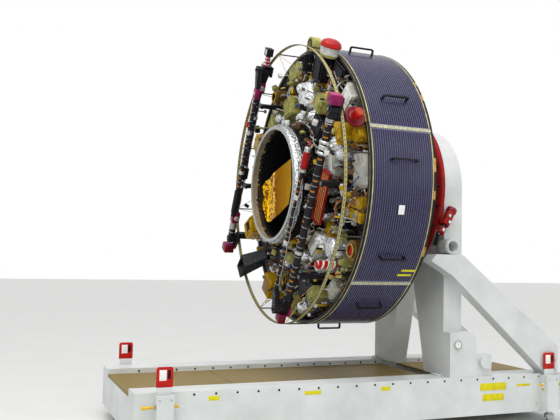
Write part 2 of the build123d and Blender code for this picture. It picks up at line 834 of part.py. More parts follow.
plate_x = knuckle_back_x + seat_gap
root_pin_front_x = knuckle_front_x - pin_head_height - seat_gap
saddle_front_x = inner_tube_x + inner_tube_radius + saddle_clearance
with BuildPart() as boom_supports:
    for side, turn in sides:
        with BuildSketch(spin_plane(plate_x)):
            Polygon(
                flat(turn, boom_out - knuckle_radius, root_along - root_cover_length),
                flat(turn, boom_out + knuckle_radius, root_along - root_cover_length),
                flat(turn, boom_out + knuckle_radius, root_along + knuckle_radius),
                flat(turn, boom_out - bracket_post, root_along + bracket_reach),
                flat(turn, boom_out - bracket_reach, root_along + bracket_reach),
                flat(turn, boom_out - bracket_reach, root_along + bracket_post),
                align=None,
            )
        extrude(amount=bracket_plate)
        with BuildSketch(spin_plane(plate_x + bracket_plate / 2)):
            Polygon(
                flat(turn, boom_out - bracket_reach, root_along + bracket_post),
                flat(turn, boom_out - bracket_reach + bracket_post, root_along + bracket_post),
                flat(turn, boom_out - bracket_reach + bracket_post, root_along + bracket_reach),
                flat(turn, boom_out - bracket_reach, root_along + bracket_reach),
                align=None,
            )
        extrude(amount=base_x - plate_x - bracket_plate / 2)
        with BuildSketch(spin_plane(root_pin_front_x)):
            with Locations(flat(turn, boom_out, root_along)):
                Circle(pin_head_radius)
        extrude(amount=pin_head_height)
        with BuildSketch(spin_plane(root_pin_front_x)):
            with Locations(flat(turn, boom_out, root_along)):
                Circle(hinge_pin_radius)
        extrude(amount=plate_x + bracket_plate / 2 - root_pin_front_x)
        # Saddles stand behind the stowed inner tube, which swings out of them.
        for along in saddle_places:
            with BuildSketch(spin_plane(saddle_front_x)):
                Polygon(
                    flat(turn, boom_out - saddle_wing / 2, along - saddle_size / 2),
                    flat(turn, boom_out + saddle_wing / 2, along - saddle_size / 2),
                    flat(turn, boom_out + saddle_wing / 2, along + saddle_size / 2),
                    flat(turn, boom_out - saddle_wing / 2, along + saddle_size / 2),
                    align=None,
                )
            extrude(amount=saddle_cap)
            with BuildSketch(spin_plane(saddle_front_x + saddle_cap / 2)):
                Polygon(
                    flat(turn, boom_out - saddle_size / 2, along - saddle_size / 2),
                    flat(turn, boom_out + saddle_size / 2, along - saddle_size / 2),
                    flat(turn, boom_out + saddle_size / 2, along + saddle_size / 2),
                    flat(turn, boom_out - saddle_size / 2, along + saddle_size / 2),
                    align=None,
                )
            extrude(amount=base_x - saddle_front_x - saddle_cap / 2)
save(boom_supports.part, "boom_supports")

# Protective covers over the root ends, beyond the swing of the knuckle.
root_cover_start = root_along - knuckle_radius - root_cover_gap - root_cover_length
with BuildPart() as root_covers:
    for side, turn in sides:
        with BuildSketch(spin_plane(plate_x - root_cover_depth)):
            Polygon(
                flat(turn, boom_out - root_cover_width / 2, root_cover_start),
                flat(turn, boom_out + root_cover_width / 2, root_cover_start),
                flat(turn, boom_out + root_cover_width / 2, root_cover_start + root_cover_length),
                flat(turn, boom_out - root_cover_width / 2, root_cover_start + root_cover_length),
                align=None,
            )
        extrude(amount=root_cover_depth - seat_gap)
save(root_covers.part, "root_covers")

# The trolley: two box beams, crossbars and end plates around a plywood deck.
beam_middle_y = (beam_outer_y + beam_inner_y) / 2
crossbar_length = 2 * (beam_inner_y + pin_head_radius)
fascia_height = crossbar_top - beam_bottom
with BuildPart() as base_frame:
    for side in (-1, 1):
        with BuildSketch(Plane.YZ.offset(-half_length)):
            with Locations((side * beam_middle_y, (beam_top + beam_bottom) / 2)):
                Rectangle(beam_width, beam_top - beam_bottom)
        extrude(amount=trolley_length)
    with Locations(*((x, 0, crossbar_top - crossbar_depth / 2) for x in (-castor_x, 0, castor_x))):
        Box(crossbar_width, crossbar_length, crossbar_depth)
    for end in (-1, 1):
        fascia_x = end * (half_length - fascia_thickness / 2)
        with Locations((fascia_x, 0, beam_bottom + fascia_height / 2)):
            Box(fascia_thickness, crossbar_length, fascia_height)
save(base_frame.part, "base_frame")

deck_edge = 5.0
boards = (
    (-half_length + deck_edge, arch_front_x - seat_gap),
    (arch_back_x + seat_gap, half_length - deck_edge),
)
with BuildPart() as deck_boards:
    for start, end in boards:
        with Locations(((start + end) / 2, 0, deck_top - deck_thickness / 2)):
            Box(end - start, 2 * (beam_inner_y - seat_gap), deck_thickness)
save(deck_boards.part, "deck_boards")

# The arch stands astride the deck on both beams, hollowed a little at the back.
slot_foot = (arch_slot_foot_half, standing_z)
slot_top = (arch_slot_top_half, arch_slot_top)
with BuildPart() as arch_upright:
    with BuildSketch(Plane.YZ.offset(arch_front_x)):
        with Locations((0, (standing_z + axis_height) / 2)):
            Rectangle(2 * arch_radius, axis_height - standing_z)
        with Locations((0, axis_height)):
            Circle(arch_radius)
        Polygon(
            (-slot_foot[0], slot_foot[1]),
            (-slot_top[0], slot_top[1]),
            slot_top,
            slot_foot,
            align=None,
            mode=Mode.SUBTRACT,
        )
    extrude(amount=arch_thickness)
    with BuildSketch(Plane.YZ.offset(arch_back_x)):
        with Locations((0, axis_height)):
            Circle(arch_radius - arch_rim)
        with Locations((0, (arch_slot_top + arch_rim + axis_height) / 2)):
            Rectangle(2 * (arch_radius - arch_rim), axis_height - arch_slot_top - arch_rim)
    extrude(amount=-arch_rim_depth, mode=Mode.SUBTRACT)
save(arch_upright.part, "arch_upright")

brace_head_x = arch_front_x - brace_nose + brace_head_length
brace_end_x = half_length - brace_end_gap
brace_foot_x = brace_end_x - brace_foot_length
with BuildPart() as braces:
    for side in (-1, 1):
        near_face = side * arch_side_y
        with BuildSketch(Plane.XZ.offset(-near_face)):
            Polygon(
                (arch_front_x - brace_nose, brace_top),
                (brace_head_x, brace_top),
                (brace_end_x, standing_z + brace_foot_height),
                (brace_end_x, standing_z),
                (brace_foot_x, standing_z),
                (arch_front_x, brace_top - brace_depth),
                (arch_front_x - brace_nose - brace_pad, brace_top - brace_nose_drop),
                align=None,
            )
        extrude(amount=-side * brace_width)
save(braces.part, "braces")

with BuildPart() as trunnions:
    for side in (-1, 1):
        with BuildSketch(Plane.XZ.offset(-side * arch_side_y)):
            with Locations((trunnion_x, trunnion_z)):
                Circle(trunnion_radius)
                Circle(trunnion_bore, mode=Mode.SUBTRACT)
        extrude(amount=-side * trunnion_length)
        with BuildSketch(Plane.XZ.offset(-side * (arch_side_y + trunnion_length))):
            with Locations((trunnion_x, trunnion_z)):
                Circle(trunnion_radius - trunnion_lip_step)
                Circle(trunnion_counterbore, mode=Mode.SUBTRACT)
        extrude(amount=-side * trunnion_lip)
save(trunnions.part, "trunnions")

# Tilting gear on the near side of the arch: a housing with a dial, and a motor.
gear_top_z = standing_z + gear_height
gear_back_x = arch_front_x + gear_foot_length
motor_middle_x = gear_back_x + seat_gap + motor_length / 2
motor_middle_y = -arch_side_y - motor_width / 2
with BuildPart() as tilt_gear:
    with BuildSketch(Plane.XZ.offset(arch_side_y)):
        Polygon(
            (arch_front_x, standing_z),
            (arch_front_x, gear_top_z),
            (arch_front_x + gear_top_length, gear_top_z),
            (gear_back_x - gear_chamfer / 4, gear_top_z - gear_chamfer),
            (gear_back_x, standing_z),
            align=None,
        )
    extrude(amount=gear_width)
    with BuildSketch(Plane.XZ.offset(arch_side_y + gear_width)):
        with Locations((arch_front_x + dial_inset, gear_top_z - dial_drop)):
            Circle(dial_radius)
    extrude(amount=dial_height)
    with Locations((motor_middle_x, motor_middle_y, standing_z + motor_height / 2)):
        Box(motor_length, motor_width, motor_height)
    with BuildSketch(Plane.XZ.offset(arch_side_y + motor_width)):
        with Locations((motor_middle_x, standing_z + motor_height - motor_cap_radius)):
            Circle(motor_cap_radius)
    extrude(amount=motor_cap_length)
save(tilt_gear.part, "tilt_gear")

corners = (
    ("front_near", -1, -1),
    ("front_far", -1, 1),
    ("back_near", 1, -1),
    ("back_far", 1, 1),
)
with BuildPart() as jack_posts:
    for name, end, side in corners:
        with Locations((end * post_x, side * post_y, (post_top + post_bottom) / 2)):
            Box(post_size_x, post_size_y, post_top - post_bottom)
            with Locations((0, 0, (post_top - post_bottom - post_head_height) / 2)):
                Box(post_size_x + post_head_extra, post_size_y, post_head_height)
        with Locations((end * (post_x + rod_offset), side * post_y, rod_height)):
            Cylinder(rod_radius, rod_length, rotation=(0, 90, 0))
            with Locations((end * (rod_length - rod_grip_length) / 2, 0, 0)):
                Cylinder(rod_grip_radius, rod_grip_length, rotation=(0, 90, 0))
save(jack_posts.part, "jack_posts")

with BuildPart() as jack_feet:
    for name, end, side in corners:
        with Locations((end * post_x, side * post_y, foot_thickness / 2)):
            Cylinder(foot_radius, foot_thickness)
        screw_top = post_bottom - seat_gap
        with Locations((end * post_x, side * post_y, (foot_thickness + screw_top) / 2)):
            Cylinder(screw_radius, screw_top - foot_thickness)
            Cylinder(screw_nut_radius, screw_nut_height)
save(jack_feet.part, "jack_feet")

with BuildPart() as jack_tags:
    for name, end, side in corners:
        tag_plane = Plane.XZ.offset(-side * post_y - tag_thickness / 2)
        with BuildSketch(tag_plane) as outline:
            with Locations((end * post_x, post_top + seat_gap + tag_height / 2)):
                Rectangle(tag_width, tag_height)
            fillet(outline.vertices().group_by(Axis.Z)[-1], tag_corner)
        extrude(amount=tag_thickness)
save(jack_tags.part, "jack_tags")

# Castors hang from the end crossbars.
crown_top = 2 * castor_radius + castor_lift + crown_clearance + crown_thickness
head_top = crossbar_top - crossbar_depth - seat_gap
wheel_z = castor_radius + castor_lift
wall_offset = castor_width / 2 + fork_clearance + fork_wall / 2
fork_width = castor_width + 2 * (fork_clearance + fork_wall)
for name, end, side in corners:
    x = end * castor_x
    y = side * castor_y
    with BuildPart() as castor_fork:
        with Locations((x, y, (head_top + crown_top) / 2)):
            Cylinder(swivel_radius, head_top - crown_top)
        with Locations((x + castor_trail / 2, y, crown_top - crown_thickness / 2)):
            Box(castor_trail + 2 * swivel_radius, fork_width, crown_thickness)
        for wall in (-1, 1):
            wall_y = y + wall * wall_offset
            with BuildSketch(Plane.XZ.offset(-wall_y - fork_wall / 2)):
                Polygon(
                    (x - swivel_radius, crown_top),
                    (x + castor_trail + swivel_radius, crown_top),
                    (x + castor_trail + 2 * axle_radius, wheel_z - 2 * axle_radius),
                    (x + castor_trail - 2 * axle_radius, wheel_z - 2 * axle_radius),
                    align=None,
                )
            extrude(amount=fork_wall)
        with Locations((x + castor_trail, y, wheel_z)):
            Cylinder(axle_radius, fork_width, rotation=(90, 0, 0))
    save(castor_fork.part, f"castor_fork_{name}")

    with BuildPart() as castor_wheel:
        with Locations((x + castor_trail, y, wheel_z)):
            Cylinder(castor_radius, castor_width, rotation=(90, 0, 0))
            Cylinder(
                axle_radius + pin_clearance,
                castor_width + castor_edge,
                rotation=(90, 0, 0),
                mode=Mode.SUBTRACT,
            )
        tread_edges = castor_wheel.edges().filter_by(GeomType.CIRCLE).group_by(SortBy.RADIUS)[-1]
        chamfer(tread_edges, castor_edge)
    save(castor_wheel.part, f"castor_wheel_{name}")
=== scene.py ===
import math
import random
from collections import namedtuple
from itertools import product

import bmesh
import bpy
from mathutils import Matrix, Vector, noise
from mathutils.geometry import delaunay_2d_cdt


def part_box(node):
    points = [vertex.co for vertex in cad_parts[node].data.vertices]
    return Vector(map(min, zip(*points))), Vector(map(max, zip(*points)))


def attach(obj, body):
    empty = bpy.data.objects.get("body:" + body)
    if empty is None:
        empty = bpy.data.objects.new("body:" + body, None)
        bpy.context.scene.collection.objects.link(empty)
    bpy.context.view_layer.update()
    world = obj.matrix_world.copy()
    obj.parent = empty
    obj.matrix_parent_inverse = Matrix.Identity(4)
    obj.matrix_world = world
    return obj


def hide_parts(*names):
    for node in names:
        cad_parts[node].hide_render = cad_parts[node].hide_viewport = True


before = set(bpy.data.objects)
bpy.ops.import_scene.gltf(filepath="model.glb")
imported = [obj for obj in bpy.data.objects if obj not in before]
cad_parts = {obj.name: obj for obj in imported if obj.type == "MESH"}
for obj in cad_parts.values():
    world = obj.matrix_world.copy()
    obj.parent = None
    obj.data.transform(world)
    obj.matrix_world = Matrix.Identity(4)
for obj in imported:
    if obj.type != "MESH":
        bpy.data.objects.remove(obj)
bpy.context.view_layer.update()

bl_info = {
    "name": "Drum satellite on its integration trolley",
    "version": (1, 0, 0),
    "blender": (4, 5, 0),
    "location": "View3D > Sidebar > Satellite",
    "description": "Dresses the drum satellite, its two folding booms and its trolley",
    "category": "Object",
}

# Places of the satellite, in metres, from the frame it is built around.
SKIN_LOW, SKIN_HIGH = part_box("solar_panels")
HUB_LOW, HUB_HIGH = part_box("central_cylinder")
BEAM_LOW, BEAM_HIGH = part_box("base_frame")
FACE_X = SKIN_LOW.x
BACK_X = SKIN_HIGH.x
DRUM_RADIUS = (SKIN_HIGH.y - SKIN_LOW.y) / 2
AXIS_Z = (SKIN_HIGH.z + SKIN_LOW.z) / 2
HUB_X = HUB_LOW.x
HUB_RADIUS = 0.597
PLATFORM_X = FACE_X + 0.13
PLATFORM_RADIUS = DRUM_RADIUS - 0.0253
ANNULUS = PLATFORM_RADIUS - HUB_RADIUS
BASE_X = FACE_X + 0.1297
FOIL_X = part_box("foil_sheet")[0].x
HOOP_X = FACE_X - 0.265
HOLES_PER_RADIAN = 36.0
FIRST_SEAM = 17.4
RED_DOME_ANGLE = 57.0
RED_HAT_ANGLE = 20.6
HORN_ANGLE = 221.3
PANEL_COUNT = 6
PANEL_SPAN = 360 / PANEL_COUNT
FORWARD = Vector((-1, 0, 0))
ALONG_AXIS = (0.0, math.pi / 2, 0.0)

# Places of the stowed booms: out from the spin axis, and along the chord.
BOOM_LEAN = 27.8
BOOM_OUT = 0.655 * DRUM_RADIUS
ROOT_ALONG = -0.772 * DRUM_RADIUS
MID_ALONG = 0.676 * DRUM_RADIUS
COVER_ALONG = -0.476 * DRUM_RADIUS
COVER_LENGTH = 0.18 * DRUM_RADIUS
INNER_X = FACE_X - 0.36
OUTER_X = INNER_X - 0.08
OUTER_OUT = BOOM_OUT - 0.15
MID_OUT = BOOM_OUT - 0.075
SADDLE_X = INNER_X + 0.043
PLATE_X = INNER_X + 0.0463
PIN_X = INNER_X - 0.0443
SIDES = (("near", 0), ("far", 180))
THICK_TUBE = 0.0352
THIN_TUBE = 0.0227
TAPE_THICKNESS = 0.0009
STRIP_THICKNESS = 0.0012
ROOT_COVER_ALONG = ROOT_ALONG - 0.11
ELBOW_PLATE_ALONG = MID_ALONG - 0.09
SLEEVE_END = COVER_ALONG + COVER_LENGTH
HOLD_DOWN_ALONG = -0.255

# Places behind the drum, and on the trolley.
REAR_X = BACK_X - 0.040
ADAPTER_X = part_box("adapter_ring")[0].x
ADAPTER_BACK_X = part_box("adapter_ring")[1].x
CONE_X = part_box("rear_cone")[0].x
RAIL_INSIDE = 0.560
RAIL_OUTSIDE = BEAM_HIGH.y
DECK_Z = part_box("deck_boards")[1].z
DECK_JOINTS = (-1.255, -0.190, 1.700)
POST_X = 2.080
POST_Y = 0.8903


def srgb(code):
    """A linear colour from an sRGB hex code."""
    values = [int(code[i : i + 2], 16) / 255 for i in (1, 3, 5)]
    linear = [v / 12.92 if v <= 0.04045 else ((v + 0.055) / 1.055) ** 2.4 for v in values]
    return (*linear, 1.0)


def add_node(tree, kind, links=None, **settings):
    """Adds a node, sets what it is and feeds its sockets."""
    node = tree.nodes.new(kind)
    for name, value in settings.items():
        setattr(node, name, value)
    for socket, source in (links or {}).items():
        if isinstance(source, bpy.types.NodeSocket):
            tree.links.new(source, node.inputs[socket])
        else:
            node.inputs[socket].default_value = source
    return node


def calc(tree, operation, a, b=None):
    """The result of a sum in a node tree."""
    links = {0: a} if b is None else {0: a, 1: b}
    return add_node(tree, "ShaderNodeMath", links, operation=operation).outputs[0]


class Surface:
    """A material with its shader, and the patterns that colour, roughen and raise it."""

    def __init__(self, name, **values):
        self.material = bpy.data.materials.new(name)
        self.material.use_nodes = True
        self.tree = self.material.node_tree
        self.tree.nodes.clear()
        self.shader = self.add("ShaderNodeBsdfPrincipled")
        for socket, value in values.items():
            self.shader.inputs[socket.replace("_", " ")].default_value = value
        self.add("ShaderNodeOutputMaterial", {"Surface": self.shader.outputs["BSDF"]})
        self.spot = self.add("ShaderNodeTexCoord").outputs["Object"]

    def add(self, kind, links=None, **settings):
        return add_node(self.tree, kind, links, **settings)

    def sum(self, operation, a, b=None):
        return calc(self.tree, operation, a, b)

    def split(self, spot):
        """The three numbers of a spot."""
        return self.add("ShaderNodeSeparateXYZ", {"Vector": spot}).outputs

    def noise(self, scale, detail, spot=None, **more):
        """A cloudy pattern, from 0 to 1."""
        spot = self.spot if spot is None else spot
        links = {"Vector": spot, "Scale": scale, "Detail": detail, **more}
        return self.add("ShaderNodeTexNoise", links).outputs["Fac"]

    def waves(self, direction, scale, **more):
        """A pattern of even bands, from 0 to 1."""
        links = {"Vector": self.spot, "Scale": scale, **more}
        settings = {"wave_type": "BANDS", "bands_direction": direction}
        return self.add("ShaderNodeTexWave", links, **settings).outputs["Fac"]

    def tones(self, pattern, low, high, start=0.0, end=1.0):
        """A colour between two tones, by a pattern."""
        ramp = self.add("ShaderNodeValToRGB", {"Fac": pattern})
        first, last = ramp.color_ramp.elements
        first.position, first.color = start, srgb(low)
        last.position, last.color = end, srgb(high)
        return ramp.outputs["Color"]

    def mix(self, share, first, second):
        """The first colour where the share is 0, the second where it is 1."""
        links = {"Factor": share, 6: first, 7: second}
        return self.add("ShaderNodeMix", links, data_type="RGBA").outputs[2]

    def colour(self, source):
        self.tree.links.new(source, self.shader.inputs["Base Color"])

    def spread(self, pattern, low, high):
        """Varies the roughness by a pattern."""
        span = self.add("ShaderNodeMapRange", {"Value": pattern, "To Min": low, "To Max": high})
        self.tree.links.new(span.outputs["Result"], self.shader.inputs["Roughness"])

    def raise_by(self, pattern, depth, strength=1.0):
        """Bumps the surface by a pattern, depth in metres."""
        links = {"Height": pattern, "Distance": depth, "Strength": strength}
        bump = self.add("ShaderNodeBump", links)
        self.tree.links.new(bump.outputs["Normal"], self.shader.inputs["Normal"])


# Plain finishes: two close tones in blotches, and a fine grain. Sizes in millimetres.
Finish = namedtuple("Finish", "name light dark blotch metal rough shine grain depth coat")
FINISHES = {
    # Sprayed two-pack enamel: nearly even, soft gloss, faint orange peel.
    "white": Finish("white_enamel_on_steel", "#d9dcdb", "#c6cac8", 420, 0.0, 0.45, 0.34, 5, 0.05, 0.1),
    # Black anodising: dense black with a dull metal glint.
    "black": Finish("black_anodised_aluminium", "#1a1920", "#0b0b0f", 60, 0.0, 0.55, 0.40, 3, 0.10, 0.0),
    # Milled aluminium: light grey with a fine tooling haze.
    "alloy": Finish("milled_aluminium", "#cfd0cd", "#a9aaa6", 35, 0.9, 0.42, 0.26, 2, 0.08, 0.0),
    # Silver-painted instrument housings: pale, slightly warm.
    "silver": Finish("clear_passivated_aluminium", "#cfcfc6", "#a4a399", 50, 0.45, 0.45, 0.32, 3, 0.08, 0.0),
    # Yellow chromate conversion: iridescent mustard, streaky.
    "gold": Finish("yellow_chromated_aluminium", "#d2a80c", "#9a7504", 45, 0.25, 0.45, 0.34, 3, 0.10, 0.0),
    # Olive chromate conversion: greenish, dull.
    "olive": Finish("olive_chromated_aluminium", "#b5b268", "#7b7838", 55, 0.15, 0.52, 0.40, 3, 0.10, 0.0),
    # Tan conversion coat on magnesium.
    "tan": Finish("tan_coated_magnesium", "#c0a261", "#95763b", 40, 0.25, 0.5, 0.38, 3, 0.1, 0.0),
    # Bronze chromate on turned cans.
    "bronze": Finish("bronze_chromated_can", "#8b6a2e", "#5d431a", 30, 0.5, 0.42, 0.28, 2, 0.08, 0.0),
    # Moulded red cover: bright, smooth, wet-looking highlights.
    "red": Finish("red_moulded_cover", "#b5130a", "#870c06", 90, 0.0, 0.36, 0.26, 6, 0.04, 0.0),
    # Crimson turned cover, darker and glossier.
    "crimson": Finish("crimson_anodised_cover", "#7c0a1b", "#560512", 60, 0.15, 0.36, 0.26, 4, 0.05, 0.1),
    # Magenta anodised blocks over the boom joints.
    "magenta": Finish("magenta_anodised_cover", "#96205c", "#6f1242", 50, 0.15, 0.42, 0.32, 3, 0.06, 0.0),
    "pink": Finish("pink_anodised_cover", "#b8487c", "#9c3564", 50, 0.1, 0.45, 0.36, 3, 0.06, 0.0),
    "orange_tape": Finish("orange_adhesive_tape", "#c07a1e", "#97590e", 20, 0.0, 0.5, 0.42, 2, 0.05, 0.0),
    "white_tape": Finish("white_lacing_tape", "#d9d9d2", "#bfc0ba", 15, 0.0, 0.7, 0.6, 1.5, 0.1, 0.0),
    "yellow": Finish("yellow_enamel", "#e0bb22", "#c9a114", 80, 0.0, 0.42, 0.32, 4, 0.05, 0.2),
    "signal_red": Finish("red_enamel", "#c81c12", "#a0120b", 80, 0.0, 0.42, 0.34, 4, 0.05, 0.0),
    "deep_red": Finish("dark_red_primer", "#a00c0a", "#760705", 80, 0.0, 0.48, 0.38, 4, 0.05, 0.0),
    "plate_white": Finish("white_printed_plate", "#efefec", "#e2e2de", 60, 0.0, 0.5, 0.42, 3, 0.03, 0.1),
    "zinc": Finish("zinc_plated_steel", "#b6b8b8", "#8f9292", 25, 0.85, 0.45, 0.30, 2, 0.08, 0.0),
    "rubber": Finish("grey_castor_rubber", "#2c2c2e", "#1c1c1e", 40, 0.0, 0.8, 0.65, 2, 0.15, 0.0),
    # Near-black laid into holes, slots and openings as painted shade; also used for deck joints and small
    # dark parts.
    "dark": Finish("shadowed_cavity_paint", "#0b0b0c", "#050506", 30, 0.0, 0.8, 0.7, 3, 0.05, 0.0),
    "cream": Finish("cream_glass_fibre", "#c9c08c", "#968c58", 70, 0.0, 0.5, 0.4, 2, 0.08, 0.0),
    "blue_wire": Finish("blue_wire_sleeve", "#2f4a9c", "#20357a", 20, 0.0, 0.45, 0.35, 2, 0.05, 0.1),
    "orange_wire": Finish("orange_wire_sleeve", "#cf7a22", "#a85c14", 20, 0.0, 0.45, 0.35, 2, 0.05, 0.1),
    "white_wire": Finish("white_wire_sleeve", "#d6d6d0", "#b4b4ac", 20, 0.0, 0.5, 0.4, 2, 0.05, 0.1),
    "brown_wire": Finish("brown_wire_sleeve", "#6b4a26", "#4a3016", 20, 0.0, 0.5, 0.4, 2, 0.05, 0.1),
    "teal": Finish("teal_enamel_cap", "#3d8d84", "#2c6c66", 20, 0.0, 0.4, 0.3, 2, 0.05, 0.2),
    "yellow_edge": Finish("dull_yellow_edging", "#d2b868", "#a88c40", 30, 0.0, 0.5, 0.42, 2, 0.05, 0.0),
    "brick": Finish("brick_red_cap_end", "#b24a34", "#8f3626", 40, 0.0, 0.42, 0.34, 4, 0.05, 0.0),
    "plate_yellow": Finish("yellow_bare_plate", "#e0d41c", "#c8ba12", 60, 0.0, 0.5, 0.42, 3, 0.03, 0.0),
    "seam": Finish("taped_seam_strip", "#cfcdb6", "#8f8c70", 14, 0.0, 0.5, 0.4, 3, 0.06, 0.0),
    "lime": Finish("yellow_chromate_block", "#c9b80c", "#948504", 50, 0.2, 0.42, 0.32, 3, 0.06, 0.0),
}


def plain(row):
    """A plain finish from its row of the table."""
    values = {"Metallic": row.metal, "Coat_Weight": row.coat, "Specular_IOR_Level": 0.2}
    surface = Surface(row.name, **values)
    blotch = surface.noise(1000 / row.blotch, 5.0, Roughness=0.6)
    grain = surface.noise(1000 / row.grain, 2.0)
    surface.colour(surface.tones(blotch, row.dark, row.light, 0.3, 0.65))
    surface.spread(blotch, row.rough, row.shine)
    surface.raise_by(grain, row.depth / 1000)
    return surface.material


def foil(name, light, dark, crease_mm, metal=1.0, bump=0.9):
    """Metallised film, crumpled by hand: flat facets between sharp creases."""
    film = Surface(name, Metallic=metal)
    links = {"Vector": film.spot, "Scale": 1000 / crease_mm, "Randomness": 1.0}
    facets = film.add("ShaderNodeTexVoronoi", links).outputs["Distance"]
    wrinkles_and_facet_shade = film.noise(2200 / crease_mm, 6.0, Distortion=1.2)
    # The tones follow the wrinkles: painted shade and painted reflection on the facets, while the bump is
    # the real crumpling.
    film.colour(film.tones(wrinkles_and_facet_shade, dark, light, 0.40, 0.56))
    film.spread(facets, 0.12, 0.34)
    film.raise_by(film.sum("ADD", facets, wrinkles_and_facet_shade), crease_mm / 5000, bump)
    return film.material


def silver_foil():
    return foil("crumpled_silver_film", "#f6f7f8", "#c4c7cb", 34, 0.72)


def grey_foil():
    return foil("shaded_silver_film", "#dfe1e3", "#5d6064", 30, 0.75)


def gold_foil():
    return foil("crumpled_gold_film", "#ffc814", "#6e2c00", 90, 0.92, 0.25)


def black_foil():
    return foil("quilted_black_film", "#2b2a2d", "#121214", 90)


def taut_film():
    """Stretched gold film: mustard to the right, browner to the left, in soft folds."""
    film = Surface("taut_gold_film", Roughness=0.4, Specular_IOR_Level=0.0)
    folds = film.noise(5.0, 3.0, Distortion=1.5)
    sway = film.sum("MULTIPLY", folds, 0.30)
    left = film.sum("ADD", film.split(film.spot)["Y"], sway)
    share = film.add("ShaderNodeMapRange", {"Value": left, "From Min": -0.42, "From Max": 0.36})
    film.colour(film.tones(share.outputs["Result"], "#c49a2c", "#7c3c06"))
    film.raise_by(folds, 0.004)
    return film.material


def cell_glass():
    """Silicon cells under cover glass: deep violet, each cell a little different."""
    glass = Surface("silicon_cells_under_cover_glass", Roughness=0.22, Specular_IOR_Level=0.16)
    body = glass.tones(glass.noise(24.0, 3.0, Roughness=0.7), "#17152b", "#2c2949", 0.3, 0.7)
    fingers = glass.waves("X", 78.0, Distortion=0.0)
    links = {"Value": fingers, "From Min": 0.9, "From Max": 1.0, "To Max": 0.35}
    lines = glass.add("ShaderNodeMapRange", links).outputs["Result"]
    glass.colour(glass.mix(lines, body, srgb("#6f6d8f")))
    return glass.material


def skin_sheet():
    """Violet-grey facesheet seen between the cells."""
    sheet = Surface("glued_glass_fibre_facesheet", Roughness=0.5)
    glue = sheet.noise(60.0, 4.0)
    sheet.colour(sheet.tones(glue, "#5f5d7c", "#8583a0"))
    sheet.raise_by(glue, 0.0002)
    return sheet.material


def plywood():
    """Varnished birch plywood: long grain along the deck, worn paths."""
    wood = Surface("varnished_birch_plywood", Specular_IOR_Level=0.05)
    stretch = wood.add("ShaderNodeMapping", {"Vector": wood.spot, "Scale": (0.6, 9.0, 9.0)})
    grain = wood.noise(5.0, 8.0, stretch.outputs["Vector"], Distortion=0.6)
    wear = wood.noise(3.0, 3.0)
    wood.colour(wood.mix(wear, wood.tones(grain, "#6f5c28", "#937e42"), srgb("#8f7d57")))
    wood.spread(grain, 0.35, 0.6)
    wood.raise_by(grain, 0.0004)
    return wood.material


def carbon_tube():
    """Wound carbon fibre in matt resin: black, a faint diagonal weave."""
    carbon = Surface("wound_carbon_fibre", Specular_IOR_Level=0.25)
    weave = carbon.waves("DIAGONAL", 90.0, Distortion=1.5, Detail=1.0)
    carbon.colour(carbon.tones(weave, "#0a080d", "#16121b"))
    carbon.spread(weave, 0.38, 0.55)
    carbon.raise_by(weave, 0.0003)
    return carbon.material


def marked_tape():
    """Tan strip with dark edges, and a row of holes along its middle painted dark as shade, as on the hoop.
    """
    strip = Surface("perforated_tan_strip", Roughness=0.5)
    parts = strip.split(strip.spot)
    up = strip.sum("SUBTRACT", parts["Z"], AXIS_Z)
    angle = strip.sum("ARCTAN2", up, parts["Y"])
    part = strip.sum("FLOORED_MODULO", strip.sum("MULTIPLY", angle, HOLES_PER_RADIAN), 1.0)
    away = strip.sum("ABSOLUTE", strip.sum("SUBTRACT", parts["X"], HOOP_X))
    gap = strip.sum("LESS_THAN", part, 0.42)
    middle = strip.sum("LESS_THAN", away, 0.0045)
    edges = strip.sum("GREATER_THAN", away, 0.0145)
    # The holes are painted shade; the dark edges are the strip's own colour.
    marks = strip.sum("MAXIMUM", strip.sum("MULTIPLY", gap, middle), edges)
    dirt = strip.noise(18.0, 4.0)
    strip.colour(strip.mix(marks, strip.tones(dirt, "#8a8148", "#b8ae74"), srgb("#232012")))
    strip.raise_by(dirt, 0.0003)
    return strip.material


def hub_shell():
    """Grey primer outside and on the lip, a tan liner inside, and black further in as painted shade."""
    shell = Surface("primed_and_lined_cylinder_with_painted_shade", Roughness=0.45)
    parts = shell.split(shell.spot)
    up = shell.sum("SUBTRACT", parts["Z"], AXIS_Z)
    flat = shell.add("ShaderNodeCombineXYZ", {"X": parts["Y"], "Y": up})
    away = shell.add("ShaderNodeVectorMath", {0: flat.outputs[0]}, operation="LENGTH")
    inside = shell.sum("LESS_THAN", away.outputs["Value"], HUB_RADIUS - 0.012)
    behind = shell.sum("GREATER_THAN", parts["X"], HUB_X + 0.001)
    # Past 70 mm in, the inside turns black: painted shade deep in the hub.
    deep = shell.sum("GREATER_THAN", parts["X"], HUB_X + 0.070)
    blotch = shell.noise(9.0, 6.0)
    inner = shell.mix(deep, shell.tones(blotch, "#6d6450", "#a59c86"), srgb("#060607"))
    both = shell.sum("MULTIPLY", inside, behind)
    shell.colour(shell.mix(both, srgb("#a9acaa"), inner))
    shell.raise_by(blotch, 0.0006)
    return shell.material


SPECIAL = {
    "silver_foil": silver_foil,
    "grey_foil": grey_foil,
    "gold_foil": gold_foil,
    "black_foil": black_foil,
    "cells": cell_glass,
    "sheet": skin_sheet,
    "ply": plywood,
    "carbon": carbon_tube,
    "marked": marked_tape,
    "taut": taut_film,
    "hub": hub_shell,
}
made = {}


def paint(key):
    """The material for a short finish name, made once."""
    if key not in made:
        made[key] = SPECIAL[key]() if key in SPECIAL else plain(FINISHES[key])
    return made[key]


def shift(x=0.0, y=0.0, z=0.0):
    return Matrix.Translation((x, y, z))


def turn(axis, angle):
    return Matrix.Rotation(math.radians(angle), 4, axis)


def polar(radius, angle, height=0.0):
    """A point by its distance from Z, its angle in radians and its height."""
    return Vector((radius * math.cos(angle), radius * math.sin(angle), height))


